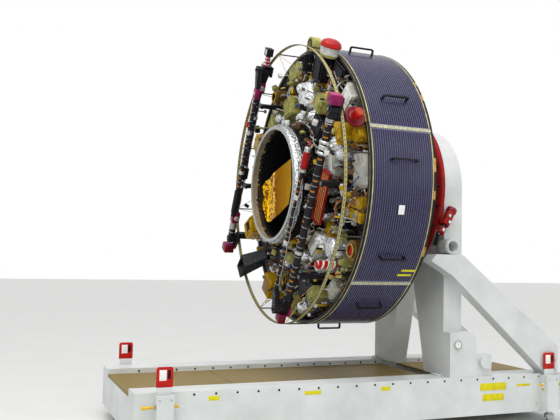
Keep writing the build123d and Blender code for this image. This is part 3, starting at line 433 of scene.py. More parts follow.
def circle(radius, height, count):
    return [polar(radius, 2 * math.pi * i / count, height) for i in range(count)]


def frame_of(x_dir, y_dir, z_dir, spot):
    """A matrix from three directions and a point."""
    turned = Matrix((x_dir, y_dir, z_dir)).transposed().to_4x4()
    turned.translation = spot
    return turned


def face_place(radius, angle, ahead):
    """A place on the equipment face: X across, Y outwards, Z forwards."""
    a = math.radians(angle)
    across = Vector((0, -math.sin(a), -math.cos(a)))
    outward = Vector((0, -math.cos(a), math.sin(a)))
    spot = Vector((FACE_X - ahead, 0, AXIS_Z)) + radius * outward
    return frame_of(across, outward, FORWARD, spot)


def rim_place(radius, angle, x):
    """A place on the drum: X along the spin axis, Z outwards."""
    a = math.radians(angle)
    outward = Vector((0, -math.cos(a), math.sin(a)))
    along = Vector((1, 0, 0))
    spot = Vector((x, 0, AXIS_Z)) + radius * outward
    return frame_of(along, outward.cross(along), outward, spot)


def chord_place(half, out, along, x):
    """A place on a stowed boom: Z runs from its root to its middle, X forwards."""
    a = math.radians(BOOM_LEAN + half)
    spot = Vector((x, -math.cos(a) * out + math.sin(a) * along, 0))
    spot.z = AXIS_Z - math.sin(a) * out - math.cos(a) * along
    ahead = Vector((0, math.sin(a), -math.cos(a)))
    return frame_of(FORWARD, ahead.cross(FORWARD), ahead, spot)


def on_thick(half, along, x=0.0):
    """A place on the middle line of a boom's thick tube, which is stowed behind."""
    return chord_place(half, BOOM_OUT, along, INNER_X + x)


def on_thin(half, along):
    """A place on the middle line of a boom's thin tube, which is stowed in front."""
    return chord_place(half, OUTER_OUT, along, OUTER_X)


class Piece:
    """Gathers the mesh of one piece, with a finish for each face."""

    def __init__(self, name, slot, body="root"):
        self.name = name
        self.body = body
        self.slot = slot
        self.mesh = bmesh.new()
        self.keys = []

    def index(self, key):
        if key not in self.keys:
            self.keys.append(key)
        return self.keys.index(key)

    def face(self, corners, number):
        face = self.mesh.faces.new(corners)
        face.material_index = number
        return face

    def place_faces(self, place, verts, faces, key):
        placed = [self.mesh.verts.new(place @ Vector(v)) for v in verts]
        number = self.index(key)
        return [self.face([placed[i] for i in corners], number) for corners in faces]

    def round_edges(self, faces, edge):
        """Rounds every edge of the faces."""
        edges = list({e for f in faces for e in f.edges})
        shape = {"segments": 2, "profile": 0.5, "affect": "EDGES", "material": -1}
        bmesh.ops.bevel(self.mesh, geom=edges, offset=edge, **shape)

    def box(self, place, size, key, edge=0.0):
        """A block centred on its place, with rounded edges."""
        x, y, z = (s / 2 for s in size)
        verts = [(i, j, k) for i in (-x, x) for j in (-y, y) for k in (-z, z)]
        quads = ((0, 1, 3, 2), (4, 6, 7, 5), (0, 4, 5, 1), (2, 3, 7, 6), (0, 2, 6, 4), (1, 5, 7, 3))
        faces = self.place_faces(place, verts, quads, key)
        if edge:
            self.round_edges(faces, edge)

    def slab(self, place, outline, height, key, edge):
        """A flat plate cut to an outline in the place's XY, standing up its Z."""
        count = len(outline)
        verts = [(x, y, 0) for x, y in outline] + [(x, y, height) for x, y in outline]
        sides = [(i, (i + 1) % count, (i + 1) % count + count, i + count) for i in range(count)]
        ends = [tuple(range(count))[::-1], tuple(range(count, 2 * count))]
        faces = self.place_faces(place, verts, sides + ends, key)
        self.round_edges(faces[-1:], edge)

    def sheet(self, place, rows, key):
        """A skin over rows of points, each row closed and joined to the next."""
        count = len(rows[0])
        faces = []
        for start in range(0, count * (len(rows) - 1), count):
            for i in range(count):
                k = (i + 1) % count
                faces.append((start + i, start + k, start + count + k, start + count + i))
        self.place_faces(place, [spot for row in rows for spot in row], faces, key)

    def lathe(self, place, profile, key, steps):
        """Turns a row of (radius, height) points round the place's Z."""
        rings = []
        for radius, height in profile:
            spots = [Vector((0, 0, height))] if radius < 1e-6 else circle(radius, height, steps)
            rings.append([self.mesh.verts.new(place @ spot) for spot in spots])
        number = self.index(key)
        for low, high in zip(rings, rings[1:]):
            for i in range(steps):
                j = (i + 1) % steps
                if len(low) == 1 and len(high) == 1:
                    continue
                if len(low) == 1:
                    corners = (low[0], high[j], high[i])
                elif len(high) == 1:
                    corners = (low[i], low[j], high[0])
                else:
                    corners = (low[i], low[j], high[j], high[i])
                self.face(corners, number)

    def rod(self, place, radius, height, key, steps, edge=0.0):
        """A closed round bar standing on its place, with a chamfered end."""
        edge = edge or radius * 0.12
        side = ((radius - edge, 0), (radius, edge), (radius, height - edge), (radius - edge, height))
        self.lathe(place, ((0, 0), *side, (0, height)), key, steps)

    def bolts(self, place, spots, radius, height, facing=Matrix(), steps=6):
        """A plated bolt head at each spot, all facing one way."""
        for spot in spots:
            self.rod(place @ shift(*spot) @ facing, radius, height, "zinc", steps=steps)

    def collar(self, place, inside, outside, half, slope, key, steps=28):
        """A band round a tube, half as long on each side of its place, with sloping ends."""
        flat = half - slope
        ring = ((inside, -half), (outside, -flat), (outside, flat), (inside, half))
        self.lathe(place, ring, key, steps)

    def tube(self, points, radius, key, sides):
        """A wire or bar along a row of points, closed at both ends."""
        points = [Vector(p) for p in points]
        side = None
        rings = []
        for i, point in enumerate(points):
            ahead = points[min(i + 1, len(points) - 1)] - points[max(i - 1, 0)]
            ahead.normalize()
            if side is None:
                side = ahead.orthogonal().normalized()
            side = (side - ahead * side.dot(ahead)).normalized()
            place = frame_of(side, ahead.cross(side), ahead, point)
            rings.append([self.mesh.verts.new(place @ s) for s in circle(radius, 0.0, sides)])
        number = self.index(key)
        for low, high in zip(rings, rings[1:]):
            for j in range(sides):
                k = (j + 1) % sides
                self.face((low[j], low[k], high[k], high[j]), number)
        self.face(rings[0][::-1], number)
        self.face(rings[-1], number)

    def bar(self, start, end, wide, deep, key):
        """A flat bar between two points, its depth along the spin axis."""
        start, end = Vector(start), Vector(end)
        ahead = (end - start).normalized()
        axis = (FORWARD - ahead * FORWARD.dot(ahead)).normalized()
        place = frame_of(axis, ahead.cross(axis), ahead, (start + end) / 2)
        self.box(place, (deep, wide, (end - start).length), key, edge=0.003)

    def add_mesh(self, mesh, key):
        """Takes in a mesh grown by a node tree, all in one finish."""
        before = len(self.mesh.faces)
        self.mesh.from_mesh(mesh)
        self.mesh.faces.ensure_lookup_table()
        number = self.index(key)
        for face in self.mesh.faces[before:]:
            face.material_index = number
        bpy.data.meshes.remove(mesh)

    def weld(self, distance=0.0001):
        """Joins the points that lie on each other, and drops those without a face."""
        loose = [v for v in self.mesh.verts if not v.link_faces]
        bmesh.ops.delete(self.mesh, geom=loose, context="VERTS")
        bmesh.ops.remove_doubles(self.mesh, verts=self.mesh.verts, dist=distance)

    def done(self, sharp=35.0, replaces=()):
        """Makes the object, lets it ride on its body and gives it its finishes."""
        mesh = bpy.data.meshes.new(self.name)
        bmesh.ops.recalc_face_normals(self.mesh, faces=self.mesh.faces)
        self.mesh.to_mesh(mesh)
        self.mesh.free()
        for key in self.keys:
            mesh.materials.append(paint(key))
        mesh.polygons.foreach_set("use_smooth", [True] * len(mesh.polygons))
        mesh.set_sharp_from_angle(angle=math.radians(sharp))
        piece = bpy.data.objects.new(self.name, mesh)
        bpy.context.scene.collection.objects.link(piece)
        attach(piece, self.body)
        if replaces:
            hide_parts(*replaces)


def crumple(point, size, seed):
    """Sharp creases of hand-crumpled film, from -1 to 1."""
    spot = point / size + Vector((seed, seed * 0.7, -seed))
    ridge = 1 - 2.2 * abs(noise.noise(spot))
    fine = 1 - 2.2 * abs(noise.noise(spot * 2.3 + Vector((7, 3, 1))))
    return 0.65 * ridge + 0.35 * fine


def chain(*points, steps=6):
    """A smooth run through the points, as wires take."""
    points = [Vector(p) for p in points]
    if len(points) < 3:
        return points
    row = [2 * points[0] - points[1], *points, 2 * points[-1] - points[-2]]
    result = []
    for a, b, c, d in zip(row, row[1:], row[2:], row[3:]):
        bend = 2 * a - 5 * b + 4 * c - d
        twist = 3 * b - a - 3 * c + d
        for i in range(steps):
            t = i / steps
            result.append(0.5 * (2 * b + (c - a) * t + bend * t * t + twist * t * t * t))
    return result + points[-1:]


SOCKETS = {int: "NodeSocketInt", float: "NodeSocketFloat", tuple: "NodeSocketVector"}


def new_tree(name, **inputs):
    """An empty node tree for a mesh, with an input for each value and for the finish."""
    tree = bpy.data.node_groups.new(name, "GeometryNodeTree")
    for label, default in inputs.items():
        kind = SOCKETS[type(default)]
        socket = tree.interface.new_socket(label, in_out="INPUT", socket_type=kind)
        socket.default_value = default
    tree.interface.new_socket("finish", in_out="INPUT", socket_type="NodeSocketMaterial")
    tree.interface.new_socket("mesh", in_out="OUTPUT", socket_type="NodeSocketGeometry")
    return tree, tree.nodes.new("NodeGroupInput").outputs


def end_tree(tree, given, points, shape, rotation):
    """Sets the shape on every point, makes the result real and gives it its finish."""
    links = {"Points": points, "Instance": shape, "Rotation": rotation}
    laid = add_node(tree, "GeometryNodeInstanceOnPoints", links).outputs["Instances"]
    real = add_node(tree, "GeometryNodeRealizeInstances", {"Geometry": laid}).outputs["Geometry"]
    links = {"Geometry": real, "Material": given["finish"]}
    painted = add_node(tree, "GeometryNodeSetMaterial", links).outputs["Geometry"]
    add_node(tree, "NodeGroupOutput", {"mesh": painted})


def grow(piece, tree, key, **values):
    """Runs a node tree once and adds the plain mesh to the piece."""
    seed = bpy.data.objects.new("seed", bpy.data.meshes.new("seed"))
    bpy.context.scene.collection.objects.link(seed)
    modifier = seed.modifiers.new("grow", "NODES")
    modifier.node_group = tree
    values["finish"] = paint(key)
    for socket in tree.interface.items_tree:
        if socket.in_out == "INPUT" and socket.name in values:
            modifier[socket.identifier] = values[socket.name]
    seed.update_tag()
    evaluated = seed.evaluated_get(bpy.context.evaluated_depsgraph_get())
    mesh = bpy.data.meshes.new_from_object(evaluated)
    seed.modifiers.remove(modifier)
    empty = seed.data
    bpy.data.objects.remove(seed)
    bpy.data.meshes.remove(empty)
    piece.add_mesh(mesh, key)


def cell_tree():
    """Solar cells laid in rows on a part of the drum, each tilted a little."""
    tree, given = new_tree(
        "solar_cells",
        columns=27,
        rows=60,
        radius=1.45,
        length=0.64,
        middle=0.0,
        start=0.0,
        sweep=1.0,
        cell_along=0.0215,
        cell_around=0.024,
        thickness=0.0008,
        tilt=0.01,
        seed=4,
    )
    size = {"Size X": 1.0, "Size Y": 1.0}
    links = {**size, "Vertices X": given["columns"], "Vertices Y": given["rows"]}
    grid = add_node(tree, "GeometryNodeMeshGrid", links).outputs["Mesh"]
    points = add_node(tree, "GeometryNodeMeshToPoints", {"Mesh": grid}).outputs["Points"]
    spot = add_node(tree, "GeometryNodeInputPosition").outputs[0]
    parts = add_node(tree, "ShaderNodeSeparateXYZ", {"Vector": spot}).outputs
    along = calc(tree, "MULTIPLY", parts["X"], given["length"])
    along = calc(tree, "ADD", along, given["middle"])
    share = calc(tree, "ADD", parts["Y"], 0.5)
    angle = calc(tree, "MULTIPLY", share, given["sweep"])
    angle = calc(tree, "ADD", angle, given["start"])
    y = calc(tree, "MULTIPLY", calc(tree, "COSINE", angle), given["radius"])
    z = calc(tree, "MULTIPLY", calc(tree, "SINE", angle), given["radius"])
    links = {"X": along, "Y": calc(tree, "MULTIPLY", y, -1.0), "Z": calc(tree, "ADD", z, AXIS_Z)}
    where = add_node(tree, "ShaderNodeCombineXYZ", links).outputs[0]
    links = {"Geometry": points, "Position": where}
    moved = add_node(tree, "GeometryNodeSetPosition", links).outputs["Geometry"]
    # Each cell faces away from the axis, then leans a little at random.
    links = {0: (-1, -1, 0), 1: (1, 1, 0), "Seed": given["seed"]}
    jitter = add_node(tree, "FunctionNodeRandomValue", links, data_type="FLOAT_VECTOR").outputs[0]
    links = {0: jitter, "Scale": given["tilt"]}
    lean = add_node(tree, "ShaderNodeVectorMath", links, operation="SCALE").outputs[0]
    rise = calc(tree, "SUBTRACT", parts["Z"], AXIS_Z)
    around = calc(tree, "ARCTAN2", rise, calc(tree, "MULTIPLY", parts["Y"], -1.0))
    links = {"X": calc(tree, "SUBTRACT", math.pi / 2, around)}
    facing = add_node(tree, "ShaderNodeCombineXYZ", links).outputs[0]
    links = {0: facing, 1: lean}
    turned = add_node(tree, "ShaderNodeVectorMath", links, operation="ADD").outputs[0]
    links = {"X": given["cell_along"], "Y": given["cell_around"], "Z": given["thickness"]}
    size = add_node(tree, "ShaderNodeCombineXYZ", links).outputs[0]
    cell = add_node(tree, "GeometryNodeMeshCube", {"Size": size}).outputs["Mesh"]
    end_tree(tree, given, moved, cell, turned)
    return tree


def round_bar(tree, given):
    links = {"Vertices": given["sides"], "Radius": given["radius"], "Depth": given["height"]}
    return add_node(tree, "GeometryNodeMeshCylinder", links).outputs["Mesh"]


def ring_tree():
    """Round heads or pads in a ring about the spin axis, all facing along it."""
    tree, given = new_tree(
        "ring_of_heads",
        count=24,
        ring_radius=0.5,
        x=0.0,
        radius=0.006,
        height=0.005,
        sides=6,
    )
    links = {"Vertices": given["count"], "Radius": given["ring_radius"]}
    ring = add_node(tree, "GeometryNodeMeshCircle", links).outputs["Mesh"]
    where = add_node(tree, "ShaderNodeCombineXYZ", {"X": given["x"], "Z": AXIS_Z}).outputs[0]
    links = {"Geometry": ring, "Translation": where, "Rotation": ALONG_AXIS}
    upright = add_node(tree, "GeometryNodeTransform", links).outputs["Geometry"]
    end_tree(tree, given, upright, round_bar(tree, given), ALONG_AXIS)
    return tree


def row_tree():
    """Equal short bars in a straight row, such as screws or holes."""
    tree, given = new_tree(
        "row_of_bars",
        count=10,
        start=(0.0, 0.0, 0.0),
        step=(0.1, 0.0, 0.0),
        wander=(0.0, 0.0, 0.0),
        radius=0.01,
        height=0.01,
        sides=16,
        facing=(0.0, 0.0, 0.0),
        seed=3,
    )
    links = {"Count": given["count"], "Start Location": given["start"], "Offset": given["step"]}
    line = add_node(tree, "GeometryNodeMeshLine", links, mode="OFFSET").outputs["Mesh"]
    chance = add_node(tree, "FunctionNodeRandomValue", {2: -1.0, "Seed": given["seed"]})
    links = {0: given["wander"], "Scale": chance.outputs[1]}
    slip = add_node(tree, "ShaderNodeVectorMath", links, operation="SCALE").outputs[0]
    links = {"Geometry": line, "Offset": slip}
    moved = add_node(tree, "GeometryNodeSetPosition", links).outputs["Geometry"]
    end_tree(tree, given, moved, round_bar(tree, given), given["facing"])
    return tree


CAD_FINISHES = {
    "hub": ("central_cylinder",),
    "black_foil": ("platforms",),
    "sheet": ("solar_panels",),
    "seam": ("seam_strips",),
    "marked": ("antenna_hoop",),
    "alloy": ("rear_cone",),
    "deep_red": ("adapter_ring",),
    "silver": ("silver_boxes",),
    "gold": ("gold_boxes",),
    "olive": ("olive_boxes", "nose_sensor"),
    "bronze": ("round_sensors",),
    "black": (
        "drum_rims",
        "grab_handles",
        "black_boxes",
        "sensor_horn",
        "boom_supports",
        "far_elbow_cover",
        "far_sensor_cover",
    ),
    "carbon": ("near_boom_inner", "far_boom_inner", "near_boom_outer", "far_boom_outer"),
    "magenta": ("near_elbow_cover", "root_covers"),
    "red": ("near_sensor_cover",),
    "white": ("arch_upright", "braces", "base_frame", "trunnions", "tilt_gear", "jack_posts"),
    "zinc": (
        "turning_head",
        "jack_feet",
        "castor_fork_front_near",
        "castor_fork_front_far",
        "castor_fork_back_near",
        "castor_fork_back_far",
    ),
    "ply": ("deck_boards",),
}


def length(name, about, value):
    """A length that the panel shows."""
    return bpy.props.FloatProperty(name=name, description=about, default=value, unit="LENGTH")


def number(name, about, value, least=0):
    """A whole number that the panel shows."""
    return bpy.props.IntProperty(name=name, description=about, default=value, min=least)


class SkinSizes(bpy.types.PropertyGroup):
    """Sizes of the solar skin."""

    columns: number("Columns", "Cells along the drum", 27, 4)
    rows: number("Rows", "Cells round one of the six panels", 60, 4)
    cell_along: length("Cell length", "Cell size along the axis", 0.0186)
    cell_around: length("Cell width", "Cell size round the drum", 0.0236)
    tilt: bpy.props.FloatProperty(
        name="Cell tilt",
        description="How far a glued cell may lean from the skin",
        default=0.012,
        unit="ROTATION",
    )


class FoilSizes(bpy.types.PropertyGroup):
    """Sizes of the hand-laid film."""

    crease: length("Crease", "Distance between creases", 0.045)
    depth: length("Depth", "How deep the film is crumpled", 0.011)


class HarnessSizes(bpy.types.PropertyGroup):
    """Sizes of the wiring on the equipment face."""

    wire: length("Wire", "Radius of a wire bundle", 0.0045)
    runs: number("Runs", "Wire bundles between the boxes", 120)
    seed: number("Seed", "Order of the wire runs", 11)


class BoomSizes(bpy.types.PropertyGroup):
    """Sizes of the trim on the booms."""

    band_pitch: length("Band pitch", "Distance between tape marks", 0.105)
    band_width: length("Band width", "Width of a tape mark", 0.016)


class TrolleySizes(bpy.types.PropertyGroup):
    """Sizes of the trim on the trolley."""

    hole_pitch: length("Hole pitch", "Distance between rail holes", 0.2)
    hole_radius: length("Hole radius", "Radius of a rail hole", 0.011)


class StageLight(bpy.types.PropertyGroup):
    """Levels of the studio light."""

    key: bpy.props.FloatProperty(
        name="Key", description="Overhead light", default=210.0, unit="POWER"
    )
    fill: bpy.props.FloatProperty(
        name="Fill", description="Light beside the camera", default=90.0, unit="POWER"
    )
    sun: bpy.props.FloatProperty(name="Sun", description="Wide light over all", default=1.5)
    world: bpy.props.FloatProperty(name="World", description="Even light", default=0.42)


SETTINGS = (
    ("satellite_skin", SkinSizes),
    ("satellite_foil", FoilSizes),
    ("satellite_harness", HarnessSizes),
    ("satellite_booms", BoomSizes),
    ("satellite_trolley", TrolleySizes),
    ("satellite_light", StageLight),
)


class SATELLITE_OT_finishes(bpy.types.Operator):
    """Gives each carried-over part of the satellite and trolley its finish."""

    bl_idname = "satellite.finishes"
    bl_label = "Finishes"

    def execute(self, context):
        for key, nodes in CAD_FINISHES.items():
            for name in nodes:
                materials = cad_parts[name].data.materials
                materials.clear()
                materials.append(paint(key))
        return {"FINISHED"}


class SATELLITE_OT_solar_skin(bpy.types.Operator):
    """Lays the solar cells on the six panels of the drum."""

    bl_idname = "satellite.solar_skin"
    bl_label = "Solar skin"

    def execute(self, context):
        sizes = context.scene.satellite_skin
        tree = cell_tree()
        skin = Piece("solar_cells", slot="solar_cells")
        margin = 1.1
        sweep = math.radians(PANEL_SPAN - 2 * margin)
        step = sweep / sizes.rows
        for index in range(PANEL_COUNT):
            start = math.radians(FIRST_SEAM + index * PANEL_SPAN + margin)
            grow(
                skin,
                tree,
                "cells",
                columns=sizes.columns,
                rows=sizes.rows,
                radius=DRUM_RADIUS + 0.0009,
                length=(BACK_X - FACE_X) - 0.034,
                middle=(BACK_X + FACE_X) / 2,
                start=start + step / 2,
                sweep=sweep - step,
                cell_along=sizes.cell_along,
                cell_around=sizes.cell_around,
                thickness=0.0008,
                tilt=sizes.tilt,
                seed=4 + index,
            )
        skin.done(sharp=20)
        return {"FINISHED"}


class SATELLITE_OT_stage(bpy.types.Operator):
    """Sets the floor, the studio light and the camera."""

    bl_idname = "satellite.stage"
    bl_label = "Stage"

    def execute(self, context):
        light = context.scene.satellite_light
        self.add(context, "floor", self.floor(40.0))
        lamps = (
            ("overhead", light.key, (-1.5, -2.5, 7.5), (8.0, 6.0)),
            ("beside_camera", light.fill, (-6.5, -6.5, 4.0), (4.0, 4.0)),
            ("far_side", light.fill * 0.7, (4.5, -6.0, 4.5), (4.0, 4.0)),
        )
        for name, power, spot, size in lamps:
            lamp = bpy.data.lights.new(name, "AREA")
            lamp.shape = "RECTANGLE"
            lamp.size, lamp.size_y = size
            lamp.energy = power
            holder = self.add(context, name, lamp)
            holder.location = spot
            aim = Vector((0, 0, 2.0)) - Vector(spot)
            holder.rotation_euler = aim.to_track_quat("-Z", "Y").to_euler()
        wide = bpy.data.lights.new("wide_overhead", "SUN")
        wide.energy = light.sun
        wide.angle = math.radians(60)
        holder = self.add(context, "wide_overhead", wide)
        holder.rotation_euler = (math.radians(24), math.radians(-14), 0.0)
        self.sky(context, light.world)
        self.camera(context)
        context.scene.view_settings.view_transform = "Standard"
        return {"FINISHED"}

    def add(self, context, name, data):
        thing = bpy.data.objects.new(name, data)
        context.scene.collection.objects.link(thing)
        return thing

    def floor(self, size):
        """A wide pale floor, a little mottled."""
        floor = bpy.data.meshes.new("floor")
        corners = [(-size, -size, 0), (size, -size, 0), (size, size, 0), (-size, size, 0)]
        floor.from_pydata(corners, [], [(0, 1, 2, 3)])
        surface = Surface("pale_sealed_floor", Roughness=0.55)
        surface.colour(surface.tones(surface.noise(1.5, 4.0), "#dcdddb", "#e6e7e5"))
        floor.materials.append(surface.material)
        return floor

    def sky(self, context, level):
        """An even grey light, seen white by the camera and in metal and glass."""
        world = bpy.data.worlds.new("studio")
        world.use_nodes = True
        tree = world.node_tree
        tree.nodes.clear()
        rays = add_node(tree, "ShaderNodeLightPath").outputs
        seen = calc(tree, "MAXIMUM", rays["Is Camera Ray"], rays["Is Glossy Ray"])
        seen = calc(tree, "MAXIMUM", seen, rays["Is Transmission Ray"])
        links = {"Value": seen, "To Min": level, "To Max": 1.0}
        strength = add_node(tree, "ShaderNodeMapRange", links).outputs["Result"]
        links = {"Color": (1.0, 1.0, 1.0, 1.0), "Strength": strength}
        glow = add_node(tree, "ShaderNodeBackground", links).outputs["Background"]
        add_node(tree, "ShaderNodeOutputWorld", {"Surface": glow})
        context.scene.world = world

    def camera(self, context):
        """The photograph's own viewpoint."""
        yaw, pitch, roll = (math.radians(a) for a in (22.28, 3.63, 1.26))
        level = math.cos(pitch)
        view = Vector((math.sin(yaw) * level, math.cos(yaw) * level, math.sin(pitch)))
        right = Vector((math.cos(yaw), -math.sin(yaw), 0))
        up = right.cross(view)
        across = right * math.cos(roll) + up * math.sin(roll)
        upward = up * math.cos(roll) - right * math.sin(roll)
        lens = bpy.data.cameras.new("camera")
        lens.lens = 46.93
        lens.sensor_width = 36.0
        lens.clip_end = 200.0
        camera = self.add(context, "camera", lens)
        camera.matrix_world = frame_of(across, upward, -view, Vector((-3.586, -7.067, 1.698)))
        context.scene.camera = camera


class SATELLITE_OT_skin_trim(bpy.types.Operator):
    """Adds the edge tapes, seam clips and the bare plate on the solar skin."""

    bl_idname = "satellite.skin_trim"
    bl_label = "Skin trim"

    def execute(self, context):
        trim = Piece("skin_trim", slot="strip")
        seams = [FIRST_SEAM + index * PANEL_SPAN for index in range(PANEL_COUNT)]
        for x in (FACE_X + 0.006, BACK_X - 0.006):
            for seam in seams:
                start = seam + 0.9
                band(trim, x, 0.012, start, start + 58.2, DRUM_RADIUS + 0.0006, "cream")
        # Short wires tie the cells to the seams, two tabs to each clip.
        for seam in seams:
            for step in range(12):
                place = rim_place(DRUM_RADIUS + 0.0079, seam, FACE_X + 0.03 + step * 0.0525)
                trim.box(place, (0.006, 0.034, 0.0012), "olive")
                trim.box(place @ shift(x=0.02), (0.016, 0.007, 0.001), "alloy")
        # A few tan tape patches on the back edge.
        for angle, span in ((31, 3), (39, 2), (2, 5), (-8, 3), (-30, 4), (70, 4), (110, 3)):
            band(trim, BACK_X + 0.011, 0.02, angle, angle + span, DRUM_RADIUS + 0.0036, "tan")
        # Two short yellow tapes lower down, and a cream line on the front rim.
        for angle, x in ((-36.8, BACK_X - 0.085), (-38.9, BACK_X - 0.110)):
            band(trim, x, 0.150, angle, angle + 0.9, DRUM_RADIUS + 0.0022, "plate_yellow")
        inside, outside = DRUM_RADIUS - 0.008, DRUM_RADIUS - 0.004
        ring = ((inside, -0.0005), (outside, -0.0005), (outside, 0.001), (inside, 0.001))
        trim.lathe(face_place(0.0, 0.0, 0.0225), ring + ring[:1], "cream", 180)
        # The bare white plate, with a black edge.
        place = rim_place(DRUM_RADIUS + 0.0028, -12.4, -0.090)
        trim.box(place, (0.062, 0.086, 0.0012), "plate_white", edge=0.0005)
        trim.box(place @ shift(x=-0.040), (0.014, 0.086, 0.0012), "black", edge=0.0005)
        trim.done()
        return {"FINISHED"}


def strip_faces(steps):
    """The faces of a thin strip, whose points go four by four along it."""
    faces = [(0, 2, 3, 1), (4 * steps, 4 * steps + 1, 4 * steps + 3, 4 * steps + 2)]
    for a in range(0, 4 * steps, 4):
        b = a + 4
        faces += [(a + 1, a + 3, b + 3, b + 1), (a, b, b + 2, a + 2)]
        faces += [(a, a + 1, b + 1, b), (a + 2, b + 2, b + 3, a + 3)]
    return faces


def band(piece, x, width, start, end, radius, key):
    """A strip that lies round the drum."""
    steps = max(2, int((end - start) / 1.5))
    verts = []
    for i in range(steps + 1):
        a = start + (end - start) * i / steps
        for side in (-0.5, 0.5):
            place = rim_place(radius, a, x + side * width)
            verts += [place.translation, place @ Vector((0, 0, STRIP_THICKNESS))]
    piece.place_faces(Matrix(), verts, strip_faces(steps), key)


# The outline of the film in the hub's mouth, in shares of the hub's radius: +Y and up.
FILM_OUTLINE = (
    (-0.52, 0.407),
    (0.19, 0.240),
    (0.83, 0.097),
    (0.975, 0.0),
    (0.94, -0.209),
    (0.79, -0.484),
    (0.63, -0.638),
    (0.38, -0.647),
    (-0.08, -0.506),
    (-0.48, -0.372),
    (-0.57, -0.055),
)


class SATELLITE_OT_hub(bpy.types.Operator):
    """Fits the bolts, the liner clips and the foil round and inside the hub."""

    bl_idname = "satellite.hub"
    bl_label = "Hub"

    def execute(self, context):
        piece = Piece("hub_bolts", slot="hub_shell")
        tree = ring_tree()
        rows = (
            (72, HUB_RADIUS - 0.008, HUB_X - 0.0005, 0.0035, 0.004),
            (60, HUB_RADIUS - 0.021, HUB_X + 0.088, 0.004, 0.008),
        )
        for count, ring, x, size, height in rows:
            values = {"count": count, "ring_radius": ring, "x": x, "radius": size}
            grow(piece, tree, "zinc", **values, height=height, sides=6)
        # Dark spring clips hold the film to the liner, on the side that shows.
        chance = random.Random(5)
        for step in range(34):
            ahead = 0.316 + chance.uniform(-0.012, 0.012)
            place = face_place(HUB_RADIUS - 0.020, 92 + step * 5.6, ahead)
            size = (chance.uniform(0.010, 0.026), 0.010, chance.uniform(0.012, 0.030))
            piece.box(place, size, chance.choice(("black", "brown_wire", "tan")), edge=0.002)
        piece.done()
        self.wrap(context.scene.satellite_foil)
        self.clutter()
        self.gold()
        return {"FINISHED"}

    def wrap(self, sizes):
        """Crumpled film taped round the outside of the hub: grey by the lip, then black."""
        film = Piece("hub_wrap", slot="silver_foil")
        around, along, bright = 190, 18, 3
        start, end = HUB_X + 0.008, PLATFORM_X - 0.01
        rows = []
        for j in range(along + 1):
            x = start + (end - start) * j / along
            ends = min(1.0, (j + 0.4) / 1.2, (along - j) / 1.5)
            rows.append([])
            for i in range(around):
                a = 2 * math.pi * i / around
                flat = Vector((x, math.cos(a) * HUB_RADIUS, math.sin(a) * HUB_RADIUS))
                lift = 0.016 + 0.5 * sizes.depth * (1 + crumple(flat, sizes.crease * 1.3, 2.0))
                radius = HUB_RADIUS + 0.0012 + lift * max(ends, 0.05)
                rows[-1].append((x, -math.cos(a) * radius, AXIS_Z + math.sin(a) * radius))
        film.sheet(Matrix(), rows[: bright + 1], "grey_foil")
        film.sheet(Matrix(), rows[bright:], "black_foil")
        film.done(sharp=12)

    def clutter(self):
        """Small connectors and brackets, strapped round the hub and between the boxes."""
        chance = random.Random(23)
        piece = Piece("hub_side_fittings", slot="black_box")
        keys = ("black", "black", "silver", "alloy", "olive", "plate_white", "yellow")
        keys += ("brown_wire", "gold")
        for count in range(340):
            angle = chance.uniform(0, 360)
            ahead = chance.uniform(-0.05, 0.26)
            tall = chance.uniform(0.020, 0.070)
            radius = HUB_RADIUS + 0.022 + tall / 2
            if count >= 150:
                radius = chance.uniform(HUB_RADIUS + 0.16, PLATFORM_RADIUS - 0.06)
                ahead -= 0.06
            place = face_place(radius, angle, ahead) @ turn("Y", chance.uniform(-35, 35))
            key = keys[count % len(keys)]
            if count % 3:
                size = (chance.uniform(0.02, 0.07), tall, chance.uniform(0.02, 0.06))
                piece.box(place, size, key, edge=0.003)
                piece.rod(place @ shift(z=size[2] / 2), 0.006, 0.006, "zinc", steps=6)
            else:
                stub = place @ turn("X", chance.uniform(-40, 40))
                piece.rod(stub, chance.uniform(0.006, 0.014), tall * 1.1, key, steps=10)
        piece.done()

    def gold(self):
        """The gold film in the hub's mouth: creased at the left, taut at the right."""
        points = []
        for (ya, za), (yb, zb) in zip(FILM_OUTLINE, FILM_OUTLINE[1:] + FILM_OUTLINE[:1]):
            for i in range(6):
                t = i / 6
                spot = Vector((ya + (yb - ya) * t, za + (zb - za) * t))
                points.append(spot * HUB_RADIUS * 0.995)
        loop = [list(range(len(points)))]
        chance = random.Random(8)
        step, wander = 0.014, 0.004
        for i in range(-44, 44):
            for j in range(-34, 34):
                slip = Vector((chance.uniform(-1, 1), chance.uniform(-1, 1)))
                points.append(Vector((i, j)) * step + slip * wander)
        verts, _, faces, _, _, _ = delaunay_2d_cdt(points, [], loop, 1, 1e-5)
        deep = []
        for spot in verts:
            fold = crumple(Vector((spot.x * 1.2, spot.y * 0.6, 0.0)), 0.150, 1.0)
            soft = math.sin((spot.x * 0.8 + spot.y * 0.35) * 14.0)
            back = 0.002 + 0.052 * self.creased(spot.x) * (1 - fold) + 0.004 * (1 - soft)
            deep.append((FOIL_X + back, spot.x, AXIS_Z + spot.y))
        film = Piece("gold_film", slot="gold_foil")
        taut, loose = [], []
        for face in faces:
            middle = sum((verts[i] for i in face), Vector((0, 0))) / 3
            ragged = middle.x + 0.12 * crumple(Vector((middle.x, middle.y, 0.0)), 0.12, 7.0)
            (taut if self.creased(ragged) < 0.15 else loose).append(face)
        film.place_faces(Matrix(), deep, loose, "gold_foil")
        film.place_faces(Matrix(), deep, taut, "taut")
        film.weld()
        film.done(sharp=14, replaces=("foil_sheet",))

    def creased(self, across):
        """How creased the gold film is: taut towards -Y, crumpled towards +Y."""
        return min(1.0, max(0.0, (across / HUB_RADIUS - 0.28) / 0.25))


